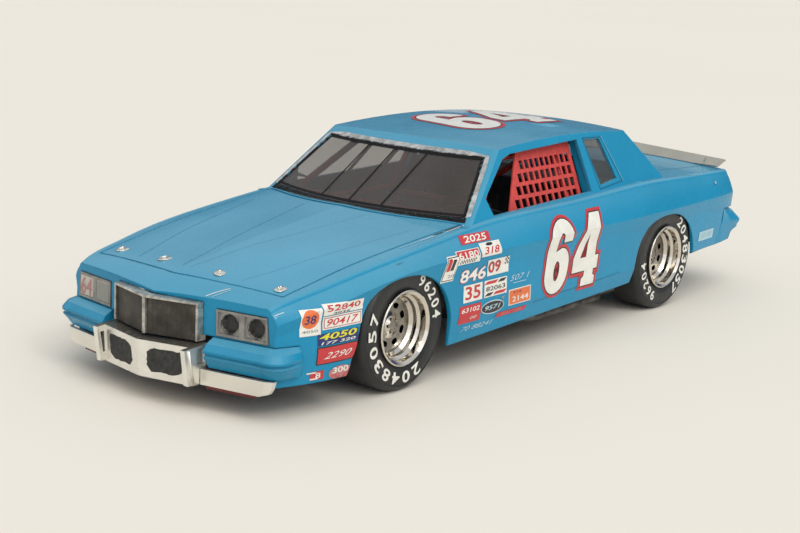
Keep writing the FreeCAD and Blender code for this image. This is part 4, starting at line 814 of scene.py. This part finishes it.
def lamp_patches():
    """Dark round lamps in the left bezel, and the marks on the covers of the right lamps."""
    lamp = Side("lamp_discs", [nodes["lamp_bezel_left"]], (0, 1, 0), (0, 0, 1), step=0.7)
    inner, outer = 16.4, 29.6
    half = (outer - inner) / 2
    for k in range(2):
        y = inner + (k + 0.5) * half
        lamp.rings([round_ring(y, 19.6, 4.5, 4.4, 30, 0.03)], "char")
        lamp.rings([round_ring(y + 0.1, 19.5, 1.9, 1.5, 16, 0.1)], "black", 1)
    lamp.build()
    cover = Side("cover_marks", [nodes["lamp_covers_right"]], (0, 1, 0), (0, 0, 1), step=0.9)
    cover.number("64", -26.4, 19.5, 4.4, 4.0, "rose", 0, 0.1, 0.0, 0.0)
    cover.rings([bar(-19.6, 19.5, 5.0, 4.2)], "grey")
    cover.build()


bumper_black()
lamp_patches()


def plate(name, rings, y, thick, material):
    """Upright plate at both sides of the car; each ring is (x, z) points."""
    bm = bmesh.new()
    for sign in (1, -1):
        for ring in rings:
            face = bm.faces.new([bm.verts.new((x, sign * y, z)) for x, z in ring])
            bmesh.ops.solidify(bm, geom=[face], thickness=thick)
    bmesh.ops.recalc_face_normals(bm, faces=bm.faces)
    bmesh.ops.scale(bm, vec=(MM, MM, MM), verts=bm.verts)
    mesh = bpy.data.meshes.new(name)
    bm.to_mesh(mesh)
    mesh.materials.append(material)
    return link(name, mesh, "chassis")


def guard_details():
    """A black sheet inside the slots of the bumper guards, and a bead down the outer face of each."""
    slot = [(103.66, 8.06), (104.34, 8.06), (105.12, 12.84), (103.98, 12.84)]
    plate("guard_slots", [slot], 13.8, 0.03, jet)
    beads = []
    for sign in (1, -1):
        foot, head = Vector((103.4, sign * 14.35, 6.3)), Vector((104.9, sign * 14.35, 13.9))
        stand = (head - foot).to_track_quat("Z", "Y").to_matrix().to_4x4()
        beads.append((Matrix.Translation((foot + head) / 2) @ stand, "rod", (0.3, (head - foot).length)))
    solid("guard_beads", beads, strip_metal, "chassis", True)


guard_details()


def wheelhouse_cheeks():
    """Dark sheet that closes the rear wheel arches off from the cabin floor."""
    reach, turn = 15.5, 0.16
    arc = [(reach * math.cos(turn * k), reach * math.sin(turn * k)) for k in range(1, 8)]
    outline = [(x - AXLE_X, z + AXLE_Z) for x, z in arc]
    outline += [(-44.0, 29.6), (-37.5, 27.0), (-37.5, 17.2)]
    plate("wheelhouse_cheeks", [outline], 34.4, 0.9, tub)


wheelhouse_cheeks()


def glints():
    """Painted highlights as short pale streaks on edges, dark marks at the cowl, the deck's seams and
    painted shade along the soft creases of the bonnet.
    """
    marks = Side("edge_highlights_and_seams", [shell], (-1, 0, 0), (0, -1, 0))
    # The white, pale and light streaks are painted highlights; the black dashes and the cobalt patch are
    # dark marks at the cowl.
    for x0, y0, x1, y1, half, colour, level in (
        (99.0, 13.4, 95.1, 16.5, 0.12, "white", 0), (98.6, 15.0, 95.6, 17.0, 0.09, "pale", 0),
        (96.2, 30.4, 94.2, 31.1, 0.06, "pale", 0), (55.5, 30.5, 43.5, 31.3, 0.1, "light", 0),
        (48.5, 30.9, 43.5, 31.3, 0.14, "pale", 1), (43.4, 30.8, 40.2, 30.9, 0.18, "black", 1),
        (39.2, 30.9, 34.8, 30.9, 0.2, "black", 1), (39.8, 31.4, 32.8, 31.4, 0.1, "white", 1),
    ):
        marks.lay(ribbon([(-x0, -y0), (-x1, -y1)], half), colour, level)
    marks.rings([[(-39.0, -30.9), (-34.1, -30.7), (-32.4, -30.8), (-36.1, -31.3)]], "cobalt")
    marks.lay(ribbon([(66.5, 24.6), (66.5, -24.6)], 0.08), "deep")
    creases = Side("bonnet_crease_shade", [hood], (-1, 0, 0), (0, -1, 0), "bonnet")
    for sign in (1, -1):
        marks.lay(ribbon([(66.5, 24.6 * sign), (80.0, 25.4 * sign), (94.8, 25.6 * sign)], 0.08), "deep")
        # Painted highlight along each side edge of the deck.
        marks.lay(ribbon([(45.2, 31.8 * sign), (58.2, 31.9 * sign), (81.7, 32.3 * sign)], 0.07), "light")
        # Painted shade along the bonnet's soft creases, wider on one side than the other.
        for line in (
            [(91.0, 16.0), (80.7, 18.6), (68.7, 21.1), (45.0, 25.0)],
            [(92.0, 1.1), (80.5, 2.7), (62.6, 6.1), (43.0, 9.6)],
        ):
            creases.lay(ribbon([(-x, sign * y) for x, y in line], 0.07 if sign > 0 else 0.04), "shadow")
    marks.build()
    creases.build()


glints()


def spoiler_joint():
    """The line where the blade's left end piece is joined on."""
    marks = Side("spoiler_joint", [nodes["spoiler"]], (0, 1, 0), (0, 0, 1), step=1.0)
    marks.lay(ribbon([(25.5, 35.9), (26.0, 38.8)], 0.1), "grey")
    marks.build()


spoiler_joint()


def place_camera():
    """The camera at the photograph's place, fitted to the car's edges in it."""
    position = Vector((337.55, 251.69, 106.83)) * MM
    yaw, pitch, roll = (math.radians(a) for a in (-141.937, -12.446, 2.549))
    forward = Vector((math.cos(pitch) * math.cos(yaw), math.cos(pitch) * math.sin(yaw), math.sin(pitch)))
    right = forward.cross(Vector((0, 0, 1))).normalized()
    up = right.cross(forward)
    side = math.cos(roll) * right + math.sin(roll) * up
    top = -math.sin(roll) * right + math.cos(roll) * up
    data = bpy.data.cameras.new("camera")
    data.sensor_width = SENSOR_WIDTH
    data.lens = FOCAL_LENGTH / IMAGE_WIDTH * SENSOR_WIDTH
    data.clip_start = 0.01
    camera = bpy.data.objects.new("camera", data)
    scene.collection.objects.link(camera)
    camera.matrix_world = Matrix((
        (side.x, top.x, -forward.x, position.x),
        (side.y, top.y, -forward.y, position.y),
        (side.z, top.z, -forward.z, position.z),
        (0, 0, 0, 1),
    ))
    scene.camera = camera


def soft_sun(name, toward, level, spread, colour):
    """A broad even light; level 1 lights a white card that faces it to full white."""
    data = bpy.data.lights.new(name, "SUN")
    data.energy = level * math.pi
    data.angle = math.radians(spread)
    data.color = colour
    lamp = bpy.data.objects.new(name, data)
    scene.collection.objects.link(lamp)
    lamp.rotation_euler = (-Vector(toward)).to_track_quat("-Z", "Y").to_euler()


def studio_world():
    """A pale sky over a dim horizon, so that bright plating has something to show."""
    world = bpy.data.worlds.new("studio")
    world.use_nodes = True
    tree = world.node_tree
    split = tree.nodes.new("ShaderNodeSeparateXYZ")
    ramp = tree.nodes.new("ShaderNodeValToRGB")
    tree.links.new(tree.nodes.new("ShaderNodeTexCoord").outputs["Generated"], split.inputs["Vector"])
    tree.links.new(split.outputs["Z"], ramp.inputs["Fac"])
    tree.links.new(ramp.outputs["Color"], tree.nodes["Background"].inputs["Color"])
    elements = ramp.color_ramp.elements
    elements[0].position, elements[0].color = 0.2, (0.07, 0.1, 0.17, 1)
    elements[1].position, elements[1].color = 0.46, (0.66, 0.7, 0.74, 1)
    scene.world = world


def floor():
    """Plain pale card that runs far out of the picture."""
    bpy.ops.mesh.primitive_plane_add(size=14)
    plane = bpy.context.object
    plane.name = "floor"
    colour = (0.84, 0.775, 0.675)
    card = finish("floor_card", colour, 0.01, 0.002, (0.8, 0.9), (0.5, 0.002), Specular_IOR_Level=0.05)
    plane.data.materials.append(card)


place_camera()
floor()
studio_world()
soft_sun("key", (0.24, 0.44, 0.86), 0.3, 50, (1.0, 0.98, 0.94))
soft_sun("glint", (0.12, 0.72, 0.68), 0.05, 5, (1.0, 1.0, 1.0))
soft_sun("fill", (0.42, 0.82, 0.38), 0.34, 70, (1.0, 0.99, 0.97))
scene.view_settings.view_transform = "Standard"

bpy.context.view_layer.update()
